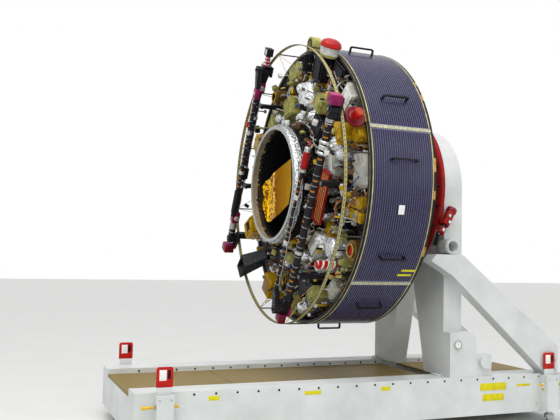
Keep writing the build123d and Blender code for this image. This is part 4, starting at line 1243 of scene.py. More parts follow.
FoilDomeRow = namedtuple("FoilDomeRow", "angle place size ahead rise")
FOIL_DOMES = (
    FoilDomeRow(76.7, 0.41, 0.165, 0.090, 0.075),
    FoilDomeRow(-40.5, 0.51, 0.108, 0.050, 0.060),
    FoilDomeRow(118.0, 0.30, 0.100, 0.060, 0.050),
    FoilDomeRow(203.0, 0.22, 0.088, 0.060, 0.050),
)


def on_face(share, angle, ahead):
    """A place on the face, at a share of the way from the hub to the platform's edge."""
    return face_place(HUB_RADIUS + ANNULUS * share, angle, ahead)


class SATELLITE_OT_film(bpy.types.Operator):
    """Lays the film over the platform and wraps the four domes."""

    bl_idname = "satellite.film"
    bl_label = "Film"

    def execute(self, context):
        sizes = context.scene.satellite_foil
        self.blanket(sizes)
        self.domes(sizes)
        return {"FINISHED"}

    def blanket(self, sizes):
        """Film over the front platform: black at the hub, then silver, then black."""
        film = Piece("platform_blanket", slot="silver_foil")
        around, out = 300, 34
        low, high = HUB_RADIUS + 0.004, PLATFORM_RADIUS - 0.004
        rows = []
        for j in range(out + 1):
            rows.append([])
            for i in range(around):
                flat = face_place(low + (high - low) * j / out, 360 * i / around, 0).translation
                lift = 0.004 + sizes.depth * 1.3 * (1 + crumple(flat, sizes.crease * 1.6, 5.0))
                rows[-1].append((PLATFORM_X - lift, flat.y, flat.z))
        for key, first, last in (("black_foil", 0, 7), ("silver_foil", 7, 15), ("black_foil", 15, out)):
            film.sheet(Matrix(), rows[first : last + 1], key)
        film.weld()
        film.done(sharp=12)

    def domes(self, sizes):
        """Silver film wrapped over the four domes, upright walls below a round top."""
        film = Piece("foil_dome_wraps", slot="silver_foil")
        floor = FACE_X - BASE_X
        around, up, wall = 56, 26, 0.45
        for count, row in enumerate(FOIL_DOMES):
            rows = []
            for j in range(up + 1):
                t = j / up
                a = max(0.0, (t - wall) / (1 - wall) * math.pi / 2)
                height = row.ahead + row.rise * math.sin(a)
                if t < wall:
                    height = floor + (row.ahead - floor) * t / wall
                ring = circle(row.size * math.cos(a), height, around)
                for spot in ring:
                    dent = crumple(spot, sizes.crease * 1.1, 3.0 + count)
                    spot *= 1 - 0.055 * (1 - dent) * (1 if height > floor + 0.02 else 0.3)
                rows.append(ring)
            film.sheet(on_face(row.place, row.angle, 0), rows, "silver_foil")
        film.weld(0.0008)
        film.done(sharp=12, replaces=("foil_domes",))


class SATELLITE_OT_rim_sensors(bpy.types.Operator):
    """Builds the red dome, the red hat and the arched sensor on the rim."""

    bl_idname = "satellite.rim_sensors"
    bl_label = "Rim sensors"

    def execute(self, context):
        self.dome()
        self.hat()
        self.nose()
        return {"FINISHED"}

    def dome(self):
        """A bright red cap over a turned silver can on an olive base."""
        piece = Piece("red_dome_cover", slot="red_cover")
        place = rim_place(DRUM_RADIUS + 0.030, RED_DOME_ANGLE, FACE_X - 0.130)
        base = ((0.0, -0.055), (0.080, -0.055), (0.084, -0.052), (0.084, -0.035))
        base += ((0.093, -0.033), (0.0945, -0.025))
        can = ((0.0945, -0.025), (0.093, -0.021), (0.093, 0.035), (0.0955, 0.038))
        can += ((0.0955, 0.045), (0.090, 0.047), (0.0, 0.047))
        piece.lathe(place, base, "olive", 48)
        piece.lathe(place, can, "alloy", 48)
        for i in range(14):
            screw = place @ turn("Z", i * 360 / 14) @ shift(x=0.0935, z=0.012) @ turn("Y", 90)
            piece.rod(screw, 0.0045, 0.002, "zinc", steps=8)
        cap = [(0.0, 0.045), (0.100, 0.045), (0.1055, 0.047)]
        cap += [(0.1075, 0.052), (0.1075, 0.061), (0.104, 0.0645)]
        for i in range(1, 11):
            a = i / 10 * math.pi / 2
            radius = 0.102 * math.cos(a) ** 0.9 if i < 10 else 0.0
            cap.append((radius, 0.0645 + 0.052 * math.sin(a)))
        piece.lathe(place, cap, "red", 56)
        piece.done(sharp=32, replaces=("red_dome",))
        self.foot("red_dome_foot", DRUM_RADIUS - 0.020, RED_DOME_ANGLE, "black")

    def hat(self):
        """A crimson brim with rolled edges and an orange-red crown with a duller end."""
        piece = Piece("red_hat_cover", slot="red_cover")
        place = rim_place(DRUM_RADIUS - 0.014, RED_HAT_ANGLE, FACE_X - 0.130)
        brim = [(0.0, -0.020), (0.086, -0.020)]
        for i in range(9):
            a = math.radians(-90 + i * 22.5)
            brim.append((0.088 + 0.0165 * math.cos(a), 0.019 * math.sin(a) + 0.001))
        brim += [(0.070, 0.014), (0.060, 0.0145), (0.054, 0.018), (0.0, 0.018)]
        piece.lathe(place, brim, "crimson", 64)
        crown = ((0.0, 0.016), (0.0475, 0.016), (0.0475, 0.024), (0.0455, 0.026))
        crown += ((0.0455, 0.066), (0.0475, 0.068), (0.0475, 0.092), (0.0445, 0.0965))
        crown += ((0.038, 0.0975), (0.0, 0.0975))
        piece.lathe(place, crown, "red", 48)
        end = ((0.0, 0.0972), (0.036, 0.0972), (0.037, 0.0985), (0.036, 0.1025), (0.0, 0.1030))
        piece.lathe(place, end, "brick", 40)
        for i in range(8):
            knob = place @ turn("Z", i * 45 + 12) @ shift(x=0.078, z=0.0135)
            piece.rod(knob, 0.0042, 0.004, "crimson", steps=10)
        piece.done(sharp=32, replaces=("hat_cover",))
        self.foot("red_hat_foot", DRUM_RADIUS - 0.014, RED_HAT_ANGLE, "gold")

    def foot(self, name, radius, angle, key):
        """The block that carries a cover at the drum's front edge."""
        piece = Piece(name, slot="black_box")
        stand = rim_place(radius, angle, FACE_X - 0.0365)
        piece.box(stand, (0.0265, 0.078, 0.029), key, edge=0.003)
        piece.done()

    def nose(self):
        """The dark-rimmed window and the mounting flange of the arched sensor."""
        piece = Piece("nose_window", slot="olive_box")
        place = face_place(DRUM_RADIUS + 0.024, 76.5, 0.130)
        rim = ((0.040, 0.0), (0.052, 0.0), (0.053, 0.003))
        rim += ((0.051, 0.006), (0.041, 0.006), (0.040, 0.003))
        piece.lathe(place, rim, "black", 36)
        glass = ((0.0, -0.036), (0.030, -0.036), (0.0385, -0.041))
        piece.lathe(place, glass, "silver", 32)
        piece.box(place @ shift(y=-0.066, z=-0.048), (0.150, 0.010, 0.092), "olive", edge=0.002)
        piece.bolts(place, [(x, -0.060, -0.001) for x in (-0.06, 0.06)], 0.006, 0.004, steps=8)
        piece.done()


# The instrument boxes of the equipment face. Each row says which node it belongs to,
# its angle, where it starts and ends from the hub (0) to the platform's edge (1), its
# size across and how far its front stands ahead of the face, in metres.
BoxRow = namedtuple("BoxRow", "node angle start end across ahead lid plugs")
BOX_ROWS = (
    BoxRow("black", 85.3, 0.72, 0.97, 0.090, 0.080, "black", 2),
    BoxRow("black", 67.6, 0.63, 0.95, 0.210, 0.100, "black", 2),
    BoxRow("black", 53.3, 0.70, 0.96, 0.250, 0.020, "black", 3),
    BoxRow("black", 43.6, 0.12, 0.36, 0.250, 0.140, "black", 4),
    BoxRow("black", -21.0, 0.30, 0.47, 0.270, 0.000, "black", 4),
    BoxRow("black", -6.5, 0.30, 0.465, 0.165, 0.030, "black", 2),
    BoxRow("black", -70.0, 0.46, 0.63, 0.150, 0.100, "black", 3),
    BoxRow("black", -87.0, 0.33, 0.66, 0.270, 0.020, "black", 5),
    BoxRow("black", 221.0, 0.20, 0.44, 0.260, 0.090, "black", 4),
    BoxRow("black", 236.0, 0.25, 0.52, 0.200, 0.060, "black", 3),
    BoxRow("silver", 36.0, 0.69, 0.96, 0.230, 0.050, "plate_white", 3),
    BoxRow("silver", 2.0, 0.62, 0.94, 0.330, 0.010, "silver", 6),
    BoxRow("silver", 8.0, 0.14, 0.42, 0.230, 0.120, "alloy", 5),
    BoxRow("silver", -55.5, 0.74, 0.94, 0.190, 0.020, "silver", 4),
    BoxRow("silver", -52.0, 0.14, 0.36, 0.240, 0.110, "alloy", 5),
    BoxRow("silver", 166.0, 0.70, 0.95, 0.210, 0.060, "silver", 3),
    BoxRow("silver", 185.5, 0.12, 0.40, 0.250, 0.090, "silver", 4),
    BoxRow("silver", 146.0, 0.14, 0.40, 0.230, 0.120, "alloy", 4),
    BoxRow("gold", 21.5, 0.60, 0.78, 0.250, 0.160, "gold", 4),
    BoxRow("gold", 16.3, 0.80, 0.95, 0.120, 0.080, "gold", 2),
    BoxRow("gold", -11.6, 0.52, 0.88, 0.110, 0.020, "tan", 2),
    BoxRow("gold", -17.2, 0.54, 0.92, 0.092, 0.030, "gold", 2),
    BoxRow("gold", -36.5, 0.20, 0.36, 0.150, 0.040, "gold", 3),
    BoxRow("gold", 203.1, 0.45, 0.72, 0.200, 0.270, "gold", 3),
    BoxRow("gold", 151.5, 0.62, 0.88, 0.200, 0.150, "tan", 3),
    BoxRow("gold", 239.5, 0.66, 0.94, 0.220, 0.160, "bronze", 3),
    BoxRow("olive", 102.4, 0.22, 0.48, 0.210, 0.140, "olive", 4),
    BoxRow("olive", 100.8, 0.72, 0.95, 0.250, 0.050, "olive", 5),
    BoxRow("olive", 48.8, 0.39, 0.58, 0.170, 0.180, "olive", 2),
    BoxRow("olive", -67.6, 0.66, 0.82, 0.180, 0.120, "olive", 3),
    BoxRow("olive", 136.0, 0.54, 0.78, 0.180, 0.070, "olive", 3),
    BoxRow("olive", 262.5, 0.70, 0.94, 0.210, 0.100, "olive", 4),
    BoxRow("olive", -98.0, 0.14, 0.28, 0.170, 0.120, "olive", 2),
)
WINDOW_BOX, SOCKET_BOX, OPEN_BOX = BOX_ROWS[10], BOX_ROWS[21], BOX_ROWS[23]
WIRES = ("white_wire", "brown_wire", "orange_wire", "white_wire", "blue_wire", "black", "alloy")


def on_box(row, ahead=0.0):
    """A place on the middle of a box's front."""
    return on_face((row.start + row.end) / 2, row.angle, row.ahead + ahead)


def box_outward(row):
    return ANNULUS * (row.end - row.start)


class SATELLITE_OT_boxes(bpy.types.Operator):
    """Dresses the instrument boxes with screws, ribs, plugs and bare plates."""

    bl_idname = "satellite.boxes"
    bl_label = "Instrument boxes"

    def execute(self, context):
        trim = Piece("box_trim", slot="silver_box")
        chance = random.Random(21)
        for row in BOX_ROWS:
            self.lid(trim, on_box(row), row)
            self.plugs(trim, on_box(row), row, chance)
        self.windows(trim)
        trim.done()
        self.cans()
        return {"FINISHED"}

    def lid(self, trim, place, row):
        """Screws round the lid, and a shallow stiffening frame on it."""
        half_x, half_y = row.across / 2 - 0.021, box_outward(row) / 2 - 0.009
        spots = product((-half_x, -0.33 * half_x, 0.33 * half_x, half_x), (-half_y, half_y), (-0.0005,))
        trim.bolts(place, spots, 0.0042, 0.004)
        inner_x, inner_y = row.across / 2 - 0.030, box_outward(row) / 2 - 0.030
        if row.lid != row.node:
            trim.box(place @ shift(z=0.0105), (2 * inner_x, 2 * inner_y, 0.004), row.lid, edge=0.0015)
        for y in (-1, 1):
            rib = place @ shift(y=y * (inner_y + 0.004), z=0.011)
            trim.box(rib, (2 * inner_x + 0.02, 0.006, 0.006), row.node, edge=0.0015)
        for x in (-1, 1):
            rib = place @ shift(x=x * (inner_x + 0.004), z=0.011)
            trim.box(rib, (0.006, 2 * inner_y + 0.008, 0.006), row.node, edge=0.0015)

    def plugs(self, trim, place, row, chance):
        """Round and flat plugs on the sides, each with the first bend of its cable."""
        depth = row.ahead + 0.10
        for count in range(row.plugs):
            side = chance.choice((-1, 1))
            z = -chance.uniform(0.02, min(0.12, depth * 0.6))
            y = chance.uniform(-0.38, 0.38) * box_outward(row)
            spot = place @ shift(x=side * row.across / 2, y=y, z=z) @ turn("Y", 90 * side)
            if count % 2:
                trim.rod(spot, 0.012, 0.022, "alloy", steps=12)
                trim.rod(spot @ shift(z=0.018), 0.009, 0.016, "black", steps=10)
            else:
                trim.box(spot @ shift(z=0.007), (0.020, 0.042, 0.014), "zinc", edge=0.002)
                trim.box(spot @ shift(z=0.020), (0.016, 0.034, 0.014), "black", edge=0.003)
            key = chance.choice(WIRES)
            lean = Vector((chance.uniform(-0.05, 0.05), chance.uniform(-0.05, 0.05), 0))
            run = chain(
                spot @ Vector((0, 0, 0.02)),
                spot @ Vector((0, 0, 0.045)),
                spot @ (Vector((0, 0, 0.058)) + lean * 0.5),
                spot @ (Vector((0.045, 0, 0.062)) + lean),
            )
            trim.tube(run, 0.0052, key, 7)

    def windows(self, trim):
        """The framed window, the two round sockets and the opening, dark with painted shade, of three boxes.
        """
        place = on_box(WINDOW_BOX, 0.0125)
        trim.box(place, (0.120, 0.110, 0.004), "alloy", edge=0.001)
        trim.box(place @ shift(z=0.003), (0.090, 0.080, 0.003), "plate_white", edge=0.001)
        cup = ((0.0, 0.0), (0.034, 0.0), (0.034, 0.012))
        cup += ((0.027, 0.014), (0.025, 0.006), (0.0, 0.006))
        plug = ((0.0, 0.0), (0.016, 0.0), (0.016, 0.016), (0.0, 0.017))
        for y in (-0.075, 0.075):
            place = on_box(SOCKET_BOX, 0.010) @ shift(y=y)
            trim.lathe(place, cup, "alloy", 24)
            trim.lathe(place @ shift(z=0.004), plug, "zinc", 16)
        place = on_box(OPEN_BOX, 0.010)
        # The opening is a flat near-black plate: painted shade.
        trim.box(place @ shift(y=-0.02), (0.110, 0.085, 0.006), "dark", edge=0.002)
        for x in (-0.062, 0.062):
            trim.box(place @ shift(x=x, y=-0.02, z=0.004), (0.010, 0.105, 0.012), "gold", edge=0.002)

    def cans(self):
        """Turned rings, glass and bolts on the round sensors."""
        rows = (
            (121.4, 0.80, 0.092, 0.100, "gold", "dark"),
            (-31.5, 0.86, 0.098, 0.020, "tan", "signal_red"),
            (107.0, 0.60, 0.048, 0.060, "alloy", "dark"),
            (171.0, 0.30, 0.060, 0.050, "alloy", "dark"),
            (252.0, 0.55, 0.070, 0.060, "bronze", "dark"),
        )
        piece = Piece("round_sensor_trim", slot="bronze_can")
        for angle, where, size, ahead, rim, heart in rows:
            place = on_face(where, angle, ahead)
            hole = size * 0.55
            eye = ((0.0, 0.0005), (hole * 0.45, 0.0005), (hole * 0.5, 0.010))
            eye += ((hole * 0.62, 0.010), (hole * 0.66, 0.002), (hole * 0.97, 0.001))
            piece.lathe(place, eye, heart, 28)
            ring = ((hole * 0.98, 0.0185), (size * 0.70, 0.0185), (size * 0.715, 0.0205))
            ring += ((size * 0.65, 0.024), (hole, 0.0235), (hole * 0.94, 0.0205))
            piece.lathe(place, ring + ring[:1], rim, 36)
            for i in range(12):
                spot = place @ turn("Z", 30 * i + 15) @ shift(x=size * 0.84, z=-0.0005)
                piece.rod(spot, 0.0036, 0.004, "zinc", steps=6)
        piece.done()


def free_spot(chance, margin):
    """A place on the platform that no box covers, as its angle and its radius."""
    while True:
        angle = chance.uniform(0, 360)
        share = chance.uniform(0.04, 0.97)
        radius = HUB_RADIUS + ANNULUS * share
        if all(not covers(row, angle, share, radius, margin) for row in BOX_ROWS):
            return angle, radius


def covers(row, angle, share, radius, margin):
    off = (angle - row.angle + 180) % 360 - 180
    across = abs(math.radians(off)) * radius
    outward = margin / ANNULUS
    return across < row.across / 2 + margin and row.start - outward < share < row.end + outward


class SATELLITE_OT_fittings(bpy.types.Operator):
    """Fills the platform between the boxes with brackets, valves, posts and film."""

    bl_idname = "satellite.fittings"
    bl_label = "Small fittings"

    def execute(self, context):
        chance = random.Random(33)
        posts = Piece("platform_fittings", slot="silver_box")
        kinds = (self.bracket, self.valve, self.stack, self.mast, self.angle_plate, self.spool)
        for count in range(260):
            angle, radius = free_spot(chance, 0.012)
            height = chance.uniform(0.05, 0.27)
            place = face_place(radius, angle, FACE_X - BASE_X + 0.002)
            place = place @ turn("Z", chance.uniform(0, 360))
            kinds[count % len(kinds)](posts, place, height, chance)
        posts.done()
        self.lumps(context.scene.satellite_foil)
        return {"FINISHED"}

    def bracket(self, piece, place, height, chance):
        """A machined bracket: foot, web and a small box on top."""
        key = chance.choice(("olive", "silver", "gold", "alloy"))
        wide = chance.uniform(0.03, 0.07)
        piece.box(place @ shift(z=0.004), (wide * 1.3, 0.05, 0.008), key, edge=0.002)
        piece.box(place @ shift(z=height / 2), (wide, 0.008, height), key, edge=0.002)
        top = chance.choice(("black", "silver", "alloy", "tan"))
        piece.box(place @ shift(z=height), (wide * 1.1, 0.04, 0.03), top, edge=0.003)

    def valve(self, piece, place, height, chance):
        """A turned valve body on a pipe stub."""
        key = chance.choice(("alloy", "zinc", "bronze"))
        size = chance.uniform(0.012, 0.026)
        profile = ((0.0, 0.0), (size * 0.6, 0.0), (size * 0.6, height * 0.5))
        profile += ((size, height * 0.55), (size, height * 0.8), (size * 0.7, height * 0.83))
        profile += ((size * 0.7, height * 0.95), (size * 0.5, height), (0.0, height))
        piece.lathe(place, profile, key, 14)

    def stack(self, piece, place, height, chance):
        """A stack of connectors on a thin plate."""
        piece.box(place @ shift(z=height / 2), (0.05, 0.006, height), "alloy", edge=0.001)
        for step in range(int(height / 0.045)):
            key = chance.choice(("zinc", "black", "gold", "blue_wire", "silver"))
            spot = place @ shift(y=0.012, z=0.03 + step * 0.045)
            piece.box(spot, (0.042, 0.018, 0.026), key, edge=0.002)

    def mast(self, piece, place, height, chance):
        """A thin post with a cap."""
        piece.rod(place, 0.006, height, chance.choice(("alloy", "black", "cream")), steps=8)
        cap = chance.choice(("signal_red", "black", "alloy", "teal", "gold", "white_tape"))
        piece.rod(place @ shift(z=height - 0.004), 0.011, 0.022, cap, steps=10)

    def angle_plate(self, piece, place, height, chance):
        """A flat plate with two sloping upper corners."""
        key = chance.choice(("olive", "gold", "silver", "black"))
        wide = chance.uniform(0.05, 0.11)
        outline = ((-wide / 2, 0.0), (wide / 2, 0.0), (wide / 2, height * 0.4))
        outline += ((wide * 0.15, height), (-wide * 0.25, height), (-wide / 2, height * 0.7))
        piece.slab(place @ turn("X", 90), outline, 0.005, key, edge=0.0012)

    def spool(self, piece, place, height, chance):
        """A short drum with two flanges, such as a wire antenna's reel."""
        size = chance.uniform(0.018, 0.038)
        top = height * 0.7
        profile = ((0.0, 0.0), (size * 0.5, 0.0), (size * 0.5, top - 0.03), (size, top - 0.028))
        profile += ((size, top - 0.022), (size * 0.7, top - 0.02), (size * 0.7, top - 0.006))
        profile += ((size, top - 0.004), (size, top + 0.002), (0.0, top + 0.004))
        piece.lathe(place, profile, chance.choice(("tan", "black", "silver", "bronze")), 16)

    def lumps(self, sizes):
        """Loose film bunched up here and there on the platform."""
        film = Piece("film_bunches", slot="silver_foil")
        rows = (
            (64, 0.20, 0.075, 0.05),
            (30, 0.10, 0.060, 0.06),
            (22, 0.36, 0.090, 0.02),
            (-8, 0.08, 0.055, 0.06),
            (-28, 0.12, 0.070, 0.05),
            (-44, 0.30, 0.085, 0.06),
            (-49, 0.60, 0.075, 0.03),
            (-60, 0.45, 0.080, 0.01),
            (-76, 0.20, 0.070, 0.05),
            (-84, 0.82, 0.070, 0.04),
            (92, 0.55, 0.070, 0.03),
            (88, 0.14, 0.075, 0.05),
            (128, 0.55, 0.060, 0.03),
            (158, 0.35, 0.070, 0.03),
            (196, 0.85, 0.060, 0.03),
            (212, 0.55, 0.060, 0.04),
            (228, 0.72, 0.060, 0.00),
            (250, 0.30, 0.080, 0.03),
            (12, 0.52, 0.070, 0.06),
            (28, 0.50, 0.060, 0.04),
        )
        around, up = 26, 15
        for count, (angle, share, size, ahead) in enumerate(rows):
            floor = FACE_X - BASE_X - ahead
            bunch = []
            for j in range(up + 1):
                a = math.pi / 2 * j / up
                bunch.append([])
                for flat in circle(math.cos(a), math.sin(a), around):
                    dent = crumple(flat * size, sizes.crease * 0.8, 9.0 + count)
                    spot = flat * size * (0.86 + 0.16 * dent)
                    spot.z = spot.z * 1.1 if j else floor
                    bunch[-1].append(spot)
            film.sheet(on_face(share, angle, ahead), bunch, "silver_foil")
        film.done(sharp=10)


class SATELLITE_OT_harness(bpy.types.Operator):
    """Runs the wiring from box to box, and the stays from the hoop to the platform."""

    bl_idname = "satellite.harness"
    bl_label = "Harness"

    def execute(self, context):
        sizes = context.scene.satellite_harness
        chance = random.Random(sizes.seed)
        wires = Piece("wire_harness", slot="black_box")
        for count in range(sizes.runs):
            row = BOX_ROWS[count % len(BOX_ROWS)]
            near = sorted(BOX_ROWS, key=lambda other: self.apart(row, other))[1:6]
            self.run(wires, row, chance.choice(near), chance, sizes.wire)
        self.loops(wires, chance, sizes.wire)
        wires.done()
        self.stays()
        return {"FINISHED"}

    def apart(self, one, other):
        a = on_box(one, -one.ahead).translation
        b = on_box(other, -other.ahead).translation
        return (a - b).length

    def run(self, piece, one, other, chance, radius):
        """One bundle between two boxes, low over the platform."""
        start = self.foot(one, chance)
        end = self.foot(other, chance)
        middle = (start + end) / 2
        middle.x = chance.uniform(FACE_X - 0.06, FACE_X + 0.08)
        wander = Vector((0, chance.uniform(-0.05, 0.05), chance.uniform(-0.05, 0.05)))
        first = start.lerp(middle, 0.5) + wander
        last = middle.lerp(end, 0.5) - wander
        first.x = chance.uniform(FACE_X - 0.08, FACE_X + 0.06)
        last.x = chance.uniform(FACE_X - 0.08, FACE_X + 0.06)
        key = chance.choice(WIRES)
        strands = chance.choice((1, 2, 2, 3))
        for strand in range(strands):
            aside = Vector((0.0, 1.0, 0.6)).normalized() * radius * 1.9 * strand
            run = chain(start + aside, first + aside, middle + aside, last + aside, end + aside)
            piece.tube(run, radius * chance.uniform(0.6, 1.0), key, 6)
        for tie in (first, last):
            band = (last - first).normalized()
            piece.tube([tie - band * 0.004, tie + band * 0.004], radius * 1.5, "white_tape", 8)

    def foot(self, row, chance):
        """A point on the side of a box, a little out from it."""
        side = chance.choice((-1, 1))
        x = side * (row.across / 2 + 0.008)
        y = chance.uniform(-0.4, 0.4) * box_outward(row)
        z = -chance.uniform(0.03, 0.09)
        return on_box(row) @ Vector((x, y, z))

    def loops(self, piece, chance, radius):
        """Bundles that follow the hub's foot and the platform's edge."""
        for base, span, key in (
            (0.645, 0.012, "black"),
            (0.668, 0.016, "white_wire"),
            (0.690, 0.020, "brown_wire"),
            (0.655, 0.018, "alloy"),
        ):
            points = []
            for i in range(72):
                a = 5 * i
                swell = span * math.sin(math.radians(a * 7)) + chance.uniform(-0.004, 0.004)
                place = face_place(base + swell, a, chance.uniform(0.10, 0.16))
                points.append(place.translation)
            points.append(points[0])
            piece.tube(chain(*points, steps=3), radius * 1.1, key, 6)

    def stays(self):
        """Thin stays from the hoop's struts back to the platform."""
        piece = Piece("hoop_stays", slot="hoop")
        for i in range(12):
            angle = 7 + 30 * i
            for off, share in ((13, 0.42), (-11, 0.62)):
                high = face_place(DRUM_RADIUS - 0.012, angle, 0.262).translation
                low = on_face(share, angle + off, -0.10).translation
                if i % 3 == 1 and off > 0:
                    continue
                piece.tube([high, low], 0.0026, "cream" if i % 2 else "black", 6)
        piece.done()


class SATELLITE_OT_booms(bpy.types.Operator):
    """Puts tape marks, ties, clamps, covers and pins on the two folding booms."""

    bl_idname = "satellite.booms"
    bl_label = "Booms"

    def execute(self, context):
        sizes = context.scene.satellite_booms
        for side, half in SIDES:
            self.inner(side, half, sizes)
            self.outer(side, half, sizes)
        self.near_end()
        self.far_end()
        self.root_covers()
        self.supports()
        return {"FINISHED"}

    def marks(self, piece, half, on_tube, radius, start, end, sizes, chance):
        """Orange tape marks and white lacing ties along a tube."""
        along = start
        while along < end:
            place = on_tube(half, along) @ turn("Z", chance.uniform(-60, 60))
            self.patch(piece, place, radius + 0.0008, sizes.band_width, 80, "orange_tape")
            tie = on_tube(half, along + sizes.band_pitch * 0.5)
            ring = ((radius, 0.0), (radius + 0.0014, 0.0006), (radius + 0.0014, 0.0026), (radius, 0.0032))
            piece.lathe(tie, ring, "white_tape", 20)
            knot = tie @ turn("Z", chance.uniform(-50, 70)) @ shift(x=radius + 0.003)
            piece.box(knot, (0.006, 0.007, 0.007), "white_tape", edge=0.001)
            along += sizes.band_pitch

    def patch(self, piece, place, radius, width, span, key):
        """A piece of tape bent round part of a tube."""
        verts = []
        for i in range(9):
            a = math.radians(-span / 2 + span * i / 8)
            for z in (-width / 2, width / 2):
                verts += [polar(radius, a, z), polar(radius + TAPE_THICKNESS, a, z)]
        piece.place_faces(place, verts, strip_faces(8), key)

    def cable(self, piece, half, on_tube, radius, start, end, key, angle, size):
        """A cable that lies along a tube, waving a little between its ties."""
        points = []
        along = start
        while along < end:
            sway = angle + 9 * math.sin(len(points) * 1.9)
            place = on_tube(half, along) @ turn("Z", sway)
            points.append(place @ Vector((radius + size, 0, 0)))
            along += 0.05
        piece.tube(chain(*points, steps=3), size, key, 6)

    def inner(self, side, half, sizes):
        """The thick tube: marks, cables, clamps, rings at its root and screws at its elbow."""
        chance = random.Random(40 + half)
        piece = Piece(f"{side}_inner_trim", body=f"{side}_inner", slot="carbon")
        start, end = ROOT_ALONG + 0.15, MID_ALONG - 0.2
        self.marks(piece, half, on_thick, THICK_TUBE, start, end, sizes, chance)
        start, end = ROOT_ALONG + 0.13, MID_ALONG - 0.19
        for angle, key, size in ((100, "black", 0.006), (128, "white_wire", 0.0035), (-110, "black", 0.005)):
            self.cable(piece, half, on_thick, THICK_TUBE, start, end, key, angle, size)
        for along in (-0.42, 0.42) if half else (0.30,):
            place = on_thick(half, along)
            piece.collar(place, THICK_TUBE, 0.043, 0.018, 0.002, "alloy")
            piece.box(place @ shift(y=0.050), (0.020, 0.022, 0.030), "alloy", edge=0.003)
            piece.bolts(place, ((0.010, 0.052, 0.0),), 0.006, 0.008, turn("Y", 90))
        far_parts = (self.blocks, self.hold_down, self.sleeve, self.strip, self.far_fittings)
        for part in far_parts if half else (self.near_clamp,):
            part(piece, half)
        for along in (ROOT_ALONG + 0.09, ROOT_ALONG + 0.10):
            piece.collar(on_thick(half, along), 0.040, 0.0425, 0.003, 0.001, "alloy")
        # Screws on the flat arm plate at the elbow.
        plate = chord_place(half, (BOOM_OUT + MID_OUT) / 2, ELBOW_PLATE_ALONG, INNER_X - 0.038)
        spots = ((0, 0.02, -0.05), (0, -0.03, -0.05), (0, 0.035, 0.04), (0, -0.02, 0.05))
        piece.bolts(plate, spots, 0.005, 0.004, turn("Y", 90))
        piece.done()

    def near_clamp(self, piece, half):
        """The near boom's clamp: three silver bands with lugs, two white plugs and three rings."""
        for along, tall, radius in ((-0.815, 0.030, 0.052), (-0.765, 0.044, 0.047), (-0.710, 0.030, 0.052)):
            place = on_thick(half, along)
            lip = radius - 0.006
            ring = ((THICK_TUBE, -tall / 2), (lip, -tall / 2), (radius, -tall / 2 + 0.006))
            ring += ((radius, tall / 2 - 0.006), (lip, tall / 2), (THICK_TUBE, tall / 2))
            piece.lathe(place, ring, "alloy", 28)
            for y in (-1, 1):
                lug = place @ shift(y=y * (radius + 0.006))
                piece.box(lug, (0.022, 0.024, tall * 0.8), "silver", edge=0.003)
                piece.bolts(lug, ((0.010, y * 0.002, 0.0),), 0.006, 0.010, turn("Y", 90))
        for along, y, size in ((-0.79, 0.058, 0.040), (-0.735, -0.060, 0.034)):
            place = on_thick(half, along, 0.006) @ shift(y=y)
            piece.box(place, (0.044, size, 0.040), "plate_white", edge=0.004)
            piece.rod(place @ shift(x=0.022) @ turn("Y", 90), 0.011, 0.006, "dark", steps=12)
        for along in (-1.03, -1.01, -0.99):
            piece.collar(on_thick(half, along), THICK_TUBE, 0.041, 0.005, 0.001, "alloy")

    def blocks(self, piece, half):
        """The far boom's two magenta blocks, with silver knobs on both sides."""
        for along, wide, tall in ((-0.83, 0.092, 0.132), (0.775, 0.110, 0.118)):
            place = on_thick(half, along, 0.004)
            piece.box(place, (0.088, wide, tall), "magenta", edge=0.006)
            piece.box(place @ shift(x=0.044), (0.006, wide * 0.7, tall * 0.7), "pink", edge=0.002)
            for y in (-1, 1):
                spot = place @ shift(y=y * wide / 2) @ turn("X", -90 * y)
                piece.rod(spot, 0.028, 0.024, "silver", steps=16)
                piece.rod(spot @ shift(z=0.020), 0.016, 0.014, "alloy", steps=12)
            spots = product((0.0425,), (-0.034, 0.034), (-0.4 * tall, 0.4 * tall))
            piece.bolts(place, spots, 0.004, 0.004, turn("Y", 90))

    def hold_down(self, piece, half):
        """A black block with white rings round the tube on both sides."""
        place = on_thick(half, HOLD_DOWN_ALONG, 0.002)
        piece.box(place, (0.090, 0.100, 0.130), "black", edge=0.005)
        piece.box(place @ shift(x=0.046, y=0.012), (0.006, 0.050, 0.085), "dark", edge=0.002)
        for along in (HOLD_DOWN_ALONG - 0.088, HOLD_DOWN_ALONG + 0.082):
            piece.collar(on_thick(half, along), THICK_TUBE, 0.045, 0.009, 0.002, "plate_white")
        spots = product((0.045,), (-0.035, 0.035), (-0.05, 0.05))
        piece.bolts(place, spots, 0.007, 0.006, turn("Y", 90))

    def sleeve(self, piece, half):
        """A ribbed silver sleeve on the tube."""
        ribs = []
        for i in range(9):
            z = -0.07 + i * 0.0155
            ribs += [(0.0385, z), (0.044, z + 0.003), (0.044, z + 0.008), (0.0385, z + 0.011)]
        sleeve = [(THICK_TUBE, -0.072), *ribs, (THICK_TUBE, 0.072)]
        piece.lathe(on_thick(half, -0.915), sleeve, "silver", 28)

    def strip(self, piece, half):
        """A perforated strip ahead of the tube, on four short arms, and its red clamp."""
        for step in range(4):
            arm = on_thick(half, -0.08 + step * 0.235) @ shift(x=0.041)
            piece.box(arm, (0.014, 0.012, 0.014), "alloy", edge=0.002)
        strip = on_thick(half, 0.27) @ shift(x=0.050)
        piece.box(strip, (0.006, 0.022, 0.74), "plate_white", edge=0.001)
